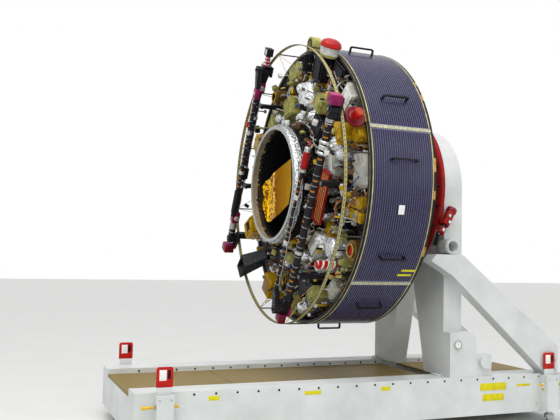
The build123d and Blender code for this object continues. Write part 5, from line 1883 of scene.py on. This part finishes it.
        # The holes are flat near-black discs on the strip: painted shade.
        for step in range(24):
            z = step * 0.0304
            piece.rod(strip @ shift(x=0.003, z=z - 0.35) @ turn("Y", 90), 0.0052, 0.0012, "dark", steps=8)
            if step % 4 == 1:
                piece.box(strip @ shift(x=0.004, z=z - 0.335), (0.004, 0.022, 0.012), "orange_tape")
        clamp = on_thick(half, 0.33) @ shift(x=0.052)
        for z in (-0.026, 0.026):
            piece.box(clamp @ shift(z=z), (0.034, 0.034, 0.010), "signal_red", edge=0.002)
        piece.box(clamp @ shift(x=0.014), (0.010, 0.034, 0.062), "signal_red", edge=0.002)

    def far_fittings(self, piece, half):
        """A small capped sensor on a black rod, a bare tube lower down and a silver grip."""
        rod = on_thick(half, 0.50) @ shift(x=-0.036) @ turn("Y", -90)
        piece.rod(rod, 0.007, 0.082, "black", steps=10)
        piece.rod(rod @ shift(z=0.072), 0.020, 0.024, "teal", steps=18)
        tube = on_thick(half, 0.30) @ shift(x=-0.036) @ turn("Y", -90)
        piece.rod(tube, 0.011, 0.105, "olive", steps=12)
        piece.rod(tube @ shift(z=0.095), 0.016, 0.012, "alloy", steps=12)
        grip = on_thick(half, 1.02) @ shift(x=-0.012)
        piece.box(grip, (0.060, 0.088, 0.040), "silver", edge=0.004)
        for z in (-0.032, 0.032):
            piece.box(grip @ shift(z=z), (0.046, 0.080, 0.008), "alloy", edge=0.002)

    def outer(self, side, half, sizes):
        """The thin tube: marks, cables, two collars and screws at its elbow."""
        chance = random.Random(60 + half)
        piece = Piece(f"{side}_outer_trim", body=f"{side}_outer", slot="carbon")
        start, end = SLEEVE_END + 0.03, MID_ALONG - 0.2
        self.marks(piece, half, on_thin, THIN_TUBE, start + 0.03, end, sizes, chance)
        for angle, key, size in ((95, "black", 0.004), (-100, "white_wire", 0.0028)):
            self.cable(piece, half, on_thin, THIN_TUBE, start, end, key, angle, size)
        ring = ((THIN_TUBE, -0.024), (0.031, -0.020), (0.033, 0.0))
        ring += ((0.031, 0.020), (THIN_TUBE, 0.024))
        for along in (-0.20, 0.28):
            place = on_thin(half, along)
            piece.lathe(place, ring, "alloy", 24)
            piece.box(place @ shift(y=0.034), (0.018, 0.014, 0.022), "alloy", edge=0.002)
        plate = chord_place(half, (OUTER_OUT + MID_OUT) / 2, ELBOW_PLATE_ALONG, OUTER_X - 0.0225)
        spots = ((0, 0.03, -0.05), (0, -0.02, -0.05), (0, -0.035, 0.04), (0, 0.02, 0.05))
        piece.bolts(plate, spots, 0.005, 0.004, turn("Y", 90))
        if half:
            block = on_thin(half, 0.735)
            piece.box(block, (0.054, 0.078, 0.112), "magenta", edge=0.005)
            piece.box(block @ shift(x=0.0275), (0.003, 0.024, 0.034), "plate_white", edge=0.001)
        piece.done()
        if half == 0:
            self.sensor(half)

    def sensor(self, half):
        """The near boom's free end: a red sleeve, a grey collar, a dark stem and a pink grip."""
        piece = Piece("near_sensor_sleeve", body="near_outer", slot="red_cover")
        end = SLEEVE_END
        collar = [(0.0229, end - 0.062), (0.030, end - 0.058), (0.030, end - 0.030)]
        collar += [(0.0229, end - 0.026)]
        sleeve = [(0.0229, -0.655), (0.0305, -0.655), (0.0345, -0.650), (0.0345, end - 0.070)]
        sleeve += [(0.0305, end - 0.066), (0.0229, end - 0.066)]
        neck = [(0.0, -0.705), (0.020, -0.705), (0.028, -0.700), (0.028, -0.660), (0.0229, -0.656)]
        stem = [(0.0, -0.7485), (0.010, -0.7485), (0.010, -0.704), (0.0, -0.704)]
        for key, outline in (("silver", collar), ("red", sleeve), ("alloy", neck), ("deep_red", stem)):
            piece.lathe(on_thin(half, 0.0), outline, key, 36)
        for along in (-0.640, end - 0.080):
            piece.collar(on_thin(half, along), 0.034, 0.0355, 0.004, 0.001, "crimson", 36)
        grip = on_thin(half, COVER_ALONG - 0.056)
        piece.box(grip, (0.014, 0.066, 0.012), "pink", edge=0.003)
        piece.rod(grip @ shift(z=0.012) @ turn("X", 90), 0.004, 0.022, "alloy", steps=8)
        piece.done(sharp=32, replaces=("near_sensor_cover",))

    def near_end(self):
        """The cover block beyond the near elbow."""
        near = Piece("near_end_cover", body="near_inner", slot="magenta_cover")
        place = chord_place(0, MID_OUT, MID_ALONG + 0.100, INNER_X)
        near.box(place, (0.0758, 0.1038, 0.078), "crimson", edge=0.006)
        near.box(place @ shift(x=0.0325), (0.006, 0.080, 0.060), "magenta", edge=0.002)
        spots = ((0.034, -0.036, 0.02), (0.034, 0.036, 0.02))
        near.bolts(place, spots, 0.004, 0.004, turn("Y", 90))
        tag = place @ shift(x=-0.01, y=0.030, z=0.0385)
        near.box(tag, (0.004, 0.014, 0.002), "signal_red", edge=0.0008)
        self.cheeks(near, 0, "magenta")
        near.done(replaces=("near_elbow_cover",))

    def far_end(self):
        """The boxed sensor on its striped neck, beyond the far elbow."""
        far = Piece("far_end_sensor", body="far_inner", slot="black_box")
        box = chord_place(180, MID_OUT, MID_ALONG + 0.208, INNER_X)
        far.box(box, (0.0758, 0.0958, 0.0836), "black", edge=0.005)
        far.box(box @ shift(x=0.0365, y=0.012), (0.004, 0.050, 0.060), "alloy", edge=0.001)
        far.box(box @ shift(x=0.0385, y=-0.030), (0.003, 0.016, 0.056), "silver", edge=0.001)
        neck = chord_place(180, MID_OUT, MID_ALONG + 0.109, INNER_X)
        for step in range(7):
            key = "plate_white" if step % 2 else "signal_red"
            far.box(neck @ shift(z=-0.052 + step * 0.0173), (0.0438, 0.0558, 0.0173), key, edge=0.001)
        for step in range(5):
            coil = neck @ shift(x=0.004, y=0.042, z=-0.04 + step * 0.018)
            ring = []
            for i in range(12):
                a = 2 * math.pi * i / 12
                ring.append(coil @ Vector((0.020 * math.cos(a), 0.014 * math.sin(a), 0.002 * i / 12)))
            far.tube(ring + ring[:1], 0.0026, "signal_red" if step % 2 else "pink", 6)
        self.cheeks(far, 180, "black")
        far.done(replaces=("far_elbow_cover",))

    def cheeks(self, piece, half, key):
        """The plate behind the elbow and the block beyond its pin."""
        back = chord_place(half, MID_OUT, MID_ALONG, INNER_X + 0.0583)
        piece.box(back, (0.0236, 0.1196, 0.1096), key, edge=0.004)
        spots = product((-0.011,), (-0.045, 0.045), (-0.04, 0.04))
        piece.bolts(back, spots, 0.004, 0.0035, turn("Y", -90))
        beyond = chord_place(half, MID_OUT, MID_ALONG + 0.0502, INNER_X + 0.004)
        piece.box(beyond, (0.0836, 0.1196, 0.0096), key, edge=0.002)

    def root_covers(self):
        """The coloured protective blocks over the booms' roots."""
        piece = Piece("root_cover_blocks", slot="magenta_cover")
        near, far = (chord_place(half, BOOM_OUT, ROOT_COVER_ALONG, PLATE_X - 0.06) for half in (0, 180))
        piece.box(near @ shift(y=-0.024, z=0.012), (0.118, 0.100, 0.086), "magenta", edge=0.006)
        piece.box(near @ shift(y=-0.022, z=-0.034), (0.104, 0.090, 0.010), "pink", edge=0.003)
        piece.box(near @ shift(x=0.012, y=0.050, z=0.008), (0.088, 0.046, 0.070), "lime", edge=0.005)
        piece.box(near @ shift(x=0.0575, y=-0.034, z=0.014), (0.004, 0.018, 0.050), "black", edge=0.001)
        piece.box(far @ shift(z=-0.014), (0.118, 0.134, 0.088), "crimson", edge=0.012)
        piece.box(far @ shift(z=0.034), (0.100, 0.106, 0.020), "magenta", edge=0.006)
        for place in (near, far):
            spots = product((0.0575,), (-0.05, 0.02), (-0.035, 0.035))
            piece.bolts(place, spots, 0.0045, 0.003, turn("Y", 90))
        piece.done(replaces=("root_covers",))

    def supports(self):
        """Saddle pads with their screws, foot plates and pin nuts on the boom supports."""
        piece = Piece("boom_support_trim", slot="carbon")
        for _, half in SIDES:
            for along in (-0.29 * DRUM_RADIUS, 0.386 * DRUM_RADIUS):
                place = chord_place(half, BOOM_OUT, along, SADDLE_X)
                piece.box(place @ shift(x=0.0015), (0.003, 0.070, 0.036), "white_tape", edge=0.001)
                spots = ((-0.001, -0.037, 0.0), (-0.001, 0.037, 0.0))
                piece.bolts(place, spots, 0.0055, 0.006, turn("Y", 90))
                foot = chord_place(half, BOOM_OUT, along, BASE_X - 0.008)
                piece.box(foot, (0.012, 0.090, 0.090), "alloy", edge=0.003)
            pin = chord_place(half, BOOM_OUT, ROOT_ALONG, PIN_X)
            piece.bolts(pin, ((0.0005, 0.0, 0.0),), 0.012, 0.005, turn("Y", 90))
        piece.done()


class SATELLITE_OT_horn_and_stripes(bpy.types.Operator):
    """Builds the black horn's rolled mouth and the red covers with cream stripes."""

    bl_idname = "satellite.horn_and_stripes"
    bl_label = "Horn and striped covers"

    def execute(self, context):
        self.panel()
        self.cylinder()
        self.horn()
        return {"FINISHED"}

    def panel(self):
        """A leaning red cover with cream stripes along two thirds of its width."""
        piece = Piece("striped_panel", slot="striped")
        radius = HUB_RADIUS + ANNULUS * 0.175
        a = math.radians(-13.2)
        spot = Vector((FACE_X - 0.17, -radius * math.cos(a), AXIS_Z + radius * math.sin(a)))
        lean = math.radians(24)
        across = Vector((0, math.cos(lean), math.sin(lean)))
        along = Vector((0, -math.sin(lean), math.cos(lean)))
        place = frame_of(across, -along, FORWARD, spot)
        width, length = 0.2096, 0.64 * ANNULUS
        outline = self.rounded(width, length, 0.028)
        piece.slab(place @ shift(z=-0.0298), outline, 0.0262, "deep_red", edge=0.005)
        for count in range(4):
            stripe = place @ shift(x=-width / 2 + 0.014 + count * 0.038, z=-0.0026)
            piece.box(stripe, (0.0085, length - 0.05, 0.0024), "yellow_edge", edge=0.0004)
        edge = place @ shift(x=width / 2 - 0.004, z=-0.0045)
        piece.box(edge, (0.006, length - 0.06, 0.008), "yellow_edge", edge=0.0015)
        spots = product((-0.075, 0.075), (-0.23, -0.08, 0.08, 0.23), (-0.0035,))
        piece.bolts(place, spots, 0.005, 0.0035)
        deep = BASE_X - FACE_X + 0.14
        for y in (-length / 4, length / 4):
            foot = place @ shift(y=y, z=-0.03 - deep / 2)
            piece.box(foot, (0.0556, 0.0556, deep), "black", edge=0.003)
        piece.done()

    def rounded(self, width, length, radius):
        """An outline with rounded corners."""
        outline = []
        for x, y, first in ((1, 1, 0), (-1, 1, 90), (-1, -1, 180), (1, -1, 270)):
            corner = Vector((x * (width / 2 - radius), y * (length / 2 - radius)))
            for i in range(6):
                outline.append(corner + polar(radius, math.radians(first + i * 18)).xy)
        return outline

    def cylinder(self):
        """A thin can wrapped in slanting red and white bands."""
        piece = Piece("striped_can", slot="striped")
        place = on_face(0.715, -43.8, 0.25)
        steps, up = 48, 40
        radius, length = 0.0397, 0.2
        rings = []
        for j in range(up + 1):
            size = radius - (0.004 if j in (0, up) else 0.0)
            spots = circle(size, -length + length * j / up, steps)
            rings.append([piece.mesh.verts.new(place @ spot) for spot in spots])
        red, white = piece.index("signal_red"), piece.index("plate_white")
        for j in range(up):
            for i in range(steps):
                k = (i + 1) % steps
                turns = i / steps + j / up * 3.4
                corners = (rings[j][i], rings[j][k], rings[j + 1][k], rings[j + 1][i])
                piece.face(corners, red if turns % 1 < 0.68 else white)
        for ring in (rings[0], rings[-1]):
            piece.face(ring, red)
        deep = BASE_X - FACE_X
        piece.rod(place @ shift(z=-0.25 - deep), 0.0158, deep + 0.052, "alloy", steps=20)
        piece.done(replaces=("striped_covers",))

    def horn(self):
        """A rolled lip round the horn's mouth, and screws on its walls."""
        piece = Piece("horn_lip", slot="black_horn")
        mouth = on_face(0.888, HORN_ANGLE, 0.35)
        x, y = 0.0876, 0.0976
        corners = [(x, y), (-x, y), (-x, -y), (x, -y)]
        points = []
        for (xa, ya), (xb, yb) in zip(corners, corners[1:] + corners[:1]):
            for i in range(5):
                t = 0.06 + 0.88 * i / 4
                points.append(mouth @ Vector((xa + (xb - xa) * t, ya + (yb - ya) * t, -0.003)))
        points.append(points[0])
        piece.tube(points, 0.0042, "black", 8)
        throat = on_face(0.68, HORN_ANGLE, 0.11)
        for sx, sy in ((0, 1), (0, -1), (1, 0), (-1, 0)):
            facing = Vector((0, 0, 1)).rotation_difference(Vector((sx, sy, 0))).to_matrix().to_4x4()
            for t in (0.1, 0.5, 0.9):
                wide = 0.069 + 0.021 * t
                high = 0.069 + 0.031 * t
                spot = mouth.copy()
                spot.translation = throat.translation.lerp(mouth.translation, t)
                for across in (-0.6, 0.6):
                    px = sx * wide if sx else across * wide
                    py = sy * high if sy else across * high
                    wall = spot @ shift(x=px, y=py) @ facing
                    piece.bolts(wall, ((0.0, 0.0, -0.001),), 0.005, 0.003)
        piece.done()


class SATELLITE_OT_back(bpy.types.Operator):
    """Dresses the back: bolts, ribs, a red-capped cylinder and the rear platform's film."""

    bl_idname = "satellite.back"
    bl_label = "Back side"

    def execute(self, context):
        piece = Piece("rear_trim", slot="head")
        tree = ring_tree()
        rows = (
            (24, 0.786, ADAPTER_X - 0.004, 0.017, 0.012, "black"),
            (36, 0.620, ADAPTER_BACK_X + 0.004, 0.012, 0.010, "zinc"),
        )
        for count, ring, x, size, height, key in rows:
            values = {"count": count, "ring_radius": ring, "x": x, "radius": size}
            grow(piece, tree, key, **values, height=height, sides=8)
        # Ribs on the cone.
        for i in range(24):
            low = rim_place(0.6425, i * 15, CONE_X + 0.03).translation
            high = rim_place(0.735, i * 15, ADAPTER_X - 0.045).translation
            piece.tube([low, high], 0.006, "alloy", 6)
        piece.done()
        self.release()
        self.film(context.scene.satellite_foil)
        return {"FINISHED"}

    def release(self):
        """A red-capped cylinder and its bracket, fixed beside the turning head."""
        piece = Piece("red_capped_cylinder", slot="red_cover")
        low, high = Vector((0.740, -0.815, 1.965)), Vector((0.925, -0.760, 2.225))
        ahead = (high - low).normalized()
        side = Vector((0, -1, 0))
        side = (side - ahead * side.dot(ahead)).normalized()
        place = frame_of(side.cross(ahead), side, ahead, low)
        end = (high - low).length
        base = ((0.0, 0.0), (0.034, 0.0), (0.038, 0.004), (0.038, 0.070), (0.030, 0.076), (0.0, 0.076))
        neck = ((0.0, 0.074), (0.026, 0.074), (0.026, 0.110), (0.0, 0.110))
        can = ((0.0, 0.108), (0.045, 0.108), (0.048, 0.113), (0.048, end - 0.04), (0.0, end - 0.04))
        cap = ((0.0, end - 0.042), (0.054, end - 0.042), (0.054, end - 0.004), (0.0, end))
        for key, outline in (("deep_red", base), ("black", neck), ("deep_red", can), ("crimson", cap)):
            piece.lathe(place, outline, key, 32)
        for x, z in ((0.012, 0.03), (-0.012, 0.15), (0.018, 0.21)):
            piece.box(place @ shift(x=x, y=0.046, z=z), (0.026, 0.020, 0.034), "alloy", edge=0.003)
        arm = Vector((0.735, -0.790, 1.985))
        piece.bar(arm, arm + Vector((0.010, 0.110, -0.155)), 0.060, 0.022, "alloy")
        start, end = arm + Vector((0, -0.012, -0.01)), arm + Vector((0.0, 0.05, -0.14))
        piece.bar(start, end, 0.026, 0.030, "black")
        for height in (0.10, 0.20):
            foot = low + ahead * height
            piece.bar(foot, foot + Vector((0.02, 0.10, -0.02)), 0.030, 0.020, "silver")
        piece.done(sharp=32)

    def film(self, sizes):
        """Film over the rear platform, pressed flat towards its edge."""
        film = Piece("rear_blanket", slot="gold_foil")
        around, out = 220, 22
        low, high = 0.650, PLATFORM_RADIUS - 0.004
        rows = []
        for j in reversed(range(out + 1)):
            rows.append([])
            for i in range(around):
                flat = rim_place(low + (high - low) * j / out, 360 * i / around, 0).translation
                lift = 0.004 + sizes.depth * 1.2 * (1 + crumple(flat, sizes.crease * 1.9, 6.0))
                lift *= min(1.0, (out - j) / 1.5 + 0.1)
                rows[-1].append((REAR_X + lift, flat.y, flat.z))
        film.sheet(Matrix(), rows, "black_foil")
        film.done(sharp=12)


class SATELLITE_OT_trolley(bpy.types.Operator):
    """Dresses the trolley: rail holes, tags, plates, bolts, rod sleeves and wheels."""

    bl_idname = "satellite.trolley"
    bl_label = "Trolley"

    def execute(self, context):
        self.rails(context.scene.satellite_trolley)
        self.tags()
        self.bare_plates()
        self.uprights()
        self.posts()
        self.wheels()
        return {"FINISHED"}

    def rails(self, sizes):
        """Rows of holes along the rails as near-black discs of painted shade, bolts near their ends, and
        joints in the deck.
        """
        piece = Piece("rail_trim", slot="white_paint")
        tree = row_tree()
        rail = BEAM_HIGH.x - BEAM_LOW.x
        count = int((rail - 0.3) / sizes.hole_pitch)
        start = BEAM_LOW.x + (rail - (count - 1) * sizes.hole_pitch) / 2
        for side in (-1, 1):
            for y in (RAIL_INSIDE - 0.0002, RAIL_OUTSIDE + 0.0002):
                # Each hole is a flat near-black disc on the rail's face: painted shade.
                grow(
                    piece,
                    tree,
                    "dark",
                    count=count,
                    start=(start, side * y, BEAM_HIGH.z - 0.030),
                    step=(sizes.hole_pitch, 0.0, 0.0),
                    wander=(0.0, 0.0, 0.0),
                    radius=sizes.hole_radius,
                    height=0.0012,
                    sides=14,
                    facing=(math.pi / 2, 0.0, 0.0),
                )
            for x in (BEAM_LOW.x + 0.35, BEAM_HIGH.x - 0.35):
                spots = ((x + step * 0.06, side * (RAIL_OUTSIDE + 0.0002), 0.20) for step in range(2))
                piece.bolts(Matrix(), spots, 0.008, 0.005, turn("X", -90 * side))
        for x in DECK_JOINTS:
            joint = shift(x=x, z=DECK_Z + 0.0002)
            piece.box(joint, (0.004, 2 * RAIL_INSIDE - 0.004, 0.0012), "dark", edge=0.0003)
            spots = product((x - 0.03, x + 0.03), (-0.45, -0.25, 0.25, 0.45), (DECK_Z - 0.0005,))
            piece.bolts(Matrix(), spots, 0.006, 0.0015, steps=8)
        piece.done()

    def tags(self):
        """Red tags with a bare white plate and a slot of painted shade, one on each post."""
        piece = Piece("post_tags", slot="tag")
        low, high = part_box("jack_tags")
        for end, side in product((-1, 1), (-1, 1)):
            x = end * POST_X
            y = low.y + 0.005 if side < 0 else high.y - 0.005
            self.tag(piece, x, y, low.z + 0.065, low.z + 0.237)
            stem = shift(x, y - side * 0.003, low.z + 0.0325)
            piece.box(stem, (0.126, 0.016, 0.065), "white", edge=0.003)
        piece.done(replaces=("jack_tags",))

    def tag(self, piece, x, y, low, high):
        """One tag with a rounded top, and a plate and a slot on both faces."""
        wide, tall, corner = 0.146, high - low, 0.022
        outline = [(-wide / 2, 0.0), (wide / 2, 0.0)]
        for first, middle in ((0, wide / 2 - corner), (90, corner - wide / 2)):
            for i in range(6):
                a = math.radians(first + i * 18)
                outline.append((middle + corner * math.cos(a), tall - corner + corner * math.sin(a)))
        place = shift(x, y + 0.0049, low) @ turn("X", 90)
        piece.slab(place, outline, 0.0098, "signal_red", edge=0.0015)
        for face in (-1, 1):
            front = shift(x, y + face * 0.0049, low)
            piece.box(front @ shift(x=-0.016, z=0.102), (0.062, 0.0006, 0.090), "plate_white", edge=0.0002)
            # The slot is a flat near-black plate: painted shade.
            piece.box(front @ shift(x=0.038, z=0.108), (0.026, 0.0006, 0.076), "dark", edge=0.0002)

    def bare_plates(self):
        """Bare yellow plates on the rails, without any wording."""
        piece = Piece("bare_plates", slot="white_paint")
        rows = (
            (-0.66, 0.44, 0.17, 0.035),
            (1.40, 0.400, 0.33, 0.075),
            (1.40, 0.292, 0.27, 0.072),
            (1.79, 0.400, 0.17, 0.025),
            (-1.62, 0.440, 0.10, 0.040),
            (0.12, 0.440, 0.10, 0.040),
        )
        for side in (-1, 1):
            for x, z, wide, tall in rows:
                place = shift(x * -side, side * (RAIL_OUTSIDE + 0.0008), z)
                piece.box(place, (wide, 0.0016, tall), "plate_yellow", edge=0.0005)
        piece.done()

    def uprights(self):
        """Bolts and foot pads on the arch and its braces, and the tilt gear's dial."""
        piece = Piece("upright_trim", slot="white_paint")
        low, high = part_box("arch_upright")
        edge = high.y - 0.001
        spots = [(x, edge, z) for z in (0.60, 0.75, 0.90) for x in (low.x + 0.03, high.x - 0.03)]
        piece.bolts(Matrix(), spots, 0.012, 0.010, turn("X", -90))
        for side, x in product((-1, 1), (low.x - 0.030, high.x + 0.030)):
            foot = shift(x, side * 0.63, BEAM_HIGH.z + 0.0095)
            piece.box(foot, (0.059, 0.120, 0.018), "white", edge=0.003)
            piece.bolts(foot, ((0.0, -0.040, 0.008), (0.0, 0.040, 0.008)), 0.010, 0.010)
        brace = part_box("braces")[1].y
        for side in (-1, 1):
            spots = product((2.10, 2.19), (side * (brace - 0.001),), (0.55, 0.65))
            piece.bolts(Matrix(), spots, 0.011, 0.008, turn("X", -90 * side))
            pad = shift(2.145, side * (brace - 0.08), 0.518)
            piece.box(pad, (0.200, 0.170, 0.014), "white", edge=0.003)
        self.dial(piece, low.x + 0.088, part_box("tilt_gear")[1].z - 0.120)
        piece.done()

    def dial(self, piece, x, z):
        """The tilt gear's dial, with a bare face and a red pointer."""
        dial = shift(x, -0.8364, z) @ turn("X", 90)
        ring = ((0.0, 0.0), (0.036, 0.0), (0.036, 0.003), (0.041, 0.0045), (0.0445, 0.0035), (0.045, 0.0))
        glass = ((0.0, 0.0), (0.034, 0.0), (0.034, 0.002), (0.0, 0.002))
        piece.lathe(dial, ring, "zinc", 36)
        piece.lathe(dial @ shift(z=0.0005), glass, "plate_white", 32)
        piece.box(dial @ shift(y=0.010, z=0.003), (0.004, 0.026, 0.001), "signal_red", edge=0.0004)

    def posts(self):
        """Yellow sleeves on the lock rods, bolts and small hanging tags."""
        piece = Piece("post_trim", slot="steel")
        rods = ((-0.1352, -0.075, 0.0115), (0.075, 0.145, 0.0115), (0.1445, 0.1952, 0.0165))
        for end, side in product((-1, 1), (-1, 1)):
            post = shift(end * POST_X, side * POST_Y)
            along = turn("Y", 90 * end)
            for start, finish, size in rods:
                rod = post @ shift(x=end * start, z=0.400) @ along
                piece.rod(rod, size, finish - start, "yellow", edge=0.0015, steps=20)
            washer = ((end * 0.0735, 0.0, 0.400),)
            piece.bolts(post, washer, 0.021, 0.005, along, steps=16)
            spots = ((-0.05, side * 0.0595, 0.465), (0.05, side * 0.0595, 0.465))
            piece.bolts(post, spots, 0.008, 0.006, turn("X", -90 * side))
            string = post @ shift(x=-end * 0.078)
            piece.box(string @ shift(z=0.395), (0.003, 0.034, 0.060), "plate_white", edge=0.001)
            piece.box(string @ shift(z=0.355), (0.003, 0.034, 0.020), "yellow", edge=0.001)
        piece.done()

    def wheels(self):
        """Castor wheels with a rounded tread and a bolted disc."""
        for name in ("front_near", "front_far", "back_near", "back_far"):
            node = f"castor_wheel_{name}"
            low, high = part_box(node)
            centre = (low + high) / 2
            place = shift(centre.x, low.y, centre.z) @ turn("X", -90)
            wide = high.y - low.y
            radius = (high.z - low.z) / 2 - 0.0002
            piece = Piece(f"wheel_{name}", body=f"castor_roll_{name}", slot="castor_rubber")
            tread = [(radius * 0.70, 0.001), (radius - 0.010, 0.0015)]
            for i in range(7):
                a = math.radians(-80 + i * 26.6)
                swell = (wide / 2 - 0.010) * math.sin(a)
                tread.append((radius - 0.010 + 0.010 * math.cos(a), wide / 2 + swell))
            tread += [(radius - 0.010, wide - 0.0015), (radius * 0.70, wide - 0.001)]
            piece.lathe(place, tread, "rubber", 48)
            face = [(0.0105, 0.0005), (0.028, 0.0005), (0.030, 0.004), (0.034, 0.012)]
            face += [(radius * 0.62, 0.014), (radius * 0.70, 0.004), (radius * 0.72, 0.004)]
            disc = face + [(size, wide - z) for size, z in reversed(face)] + face[:1]
            piece.lathe(place, disc, "alloy", 40)
            for i in range(5):
                for z in (0.0105, wide - 0.0145):
                    spot = place @ turn("Z", 72 * i) @ shift(x=0.052, z=z)
                    piece.rod(spot, 0.007, 0.004, "zinc", steps=8)
            piece.done(replaces=(node,))
            self.nuts(name, centre)

    def nuts(self, name, centre):
        """The nuts on both ends of a castor's axle, which turn with its fork."""
        piece = Piece(f"fork_trim_{name}", body=f"castor_swivel_{name}", slot="steel")
        low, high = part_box(f"castor_fork_{name}")
        for y, way in ((low.y + 0.0005, 1), (high.y - 0.0005, -1)):
            nut = shift(centre.x, y, centre.z) @ turn("X", 90 * way)
            piece.bolts(nut, ((0.0, 0.0, -0.0005),), 0.0125, 0.006)
        piece.done()


OPERATORS = (
    SATELLITE_OT_finishes,
    SATELLITE_OT_solar_skin,
    SATELLITE_OT_skin_trim,
    SATELLITE_OT_hub,
    SATELLITE_OT_film,
    SATELLITE_OT_rim_sensors,
    SATELLITE_OT_boxes,
    SATELLITE_OT_fittings,
    SATELLITE_OT_harness,
    SATELLITE_OT_horn_and_stripes,
    SATELLITE_OT_booms,
    SATELLITE_OT_back,
    SATELLITE_OT_trolley,
    SATELLITE_OT_stage,
)


class SATELLITE_PT_panel(bpy.types.Panel):
    """Lists the steps that dress the satellite, with their sizes."""

    bl_idname = "SATELLITE_PT_panel"
    bl_label = "Drum satellite"
    bl_space_type = "VIEW_3D"
    bl_region_type = "UI"
    bl_category = "Satellite"

    def draw(self, context):
        for name, group in SETTINGS:
            box = self.layout.box()
            for key in group.__annotations__:
                box.prop(getattr(context.scene, name), key)
        for operator in OPERATORS:
            self.layout.operator(operator.bl_idname)


def register():
    for name, group in SETTINGS:
        bpy.utils.register_class(group)
        setattr(bpy.types.Scene, name, bpy.props.PointerProperty(type=group))
    for operator in OPERATORS:
        bpy.utils.register_class(operator)
    bpy.utils.register_class(SATELLITE_PT_panel)


def unregister():
    bpy.utils.unregister_class(SATELLITE_PT_panel)
    for operator in reversed(OPERATORS):
        bpy.utils.unregister_class(operator)
    for name, group in reversed(SETTINGS):
        delattr(bpy.types.Scene, name)
        bpy.utils.unregister_class(group)


def main():
    """Dresses the whole object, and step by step."""
    register()
    for operator in OPERATORS:
        group, name = operator.bl_idname.split(".")
        getattr(getattr(bpy.ops, group), name)()


if __name__ == "__main__":
    main()
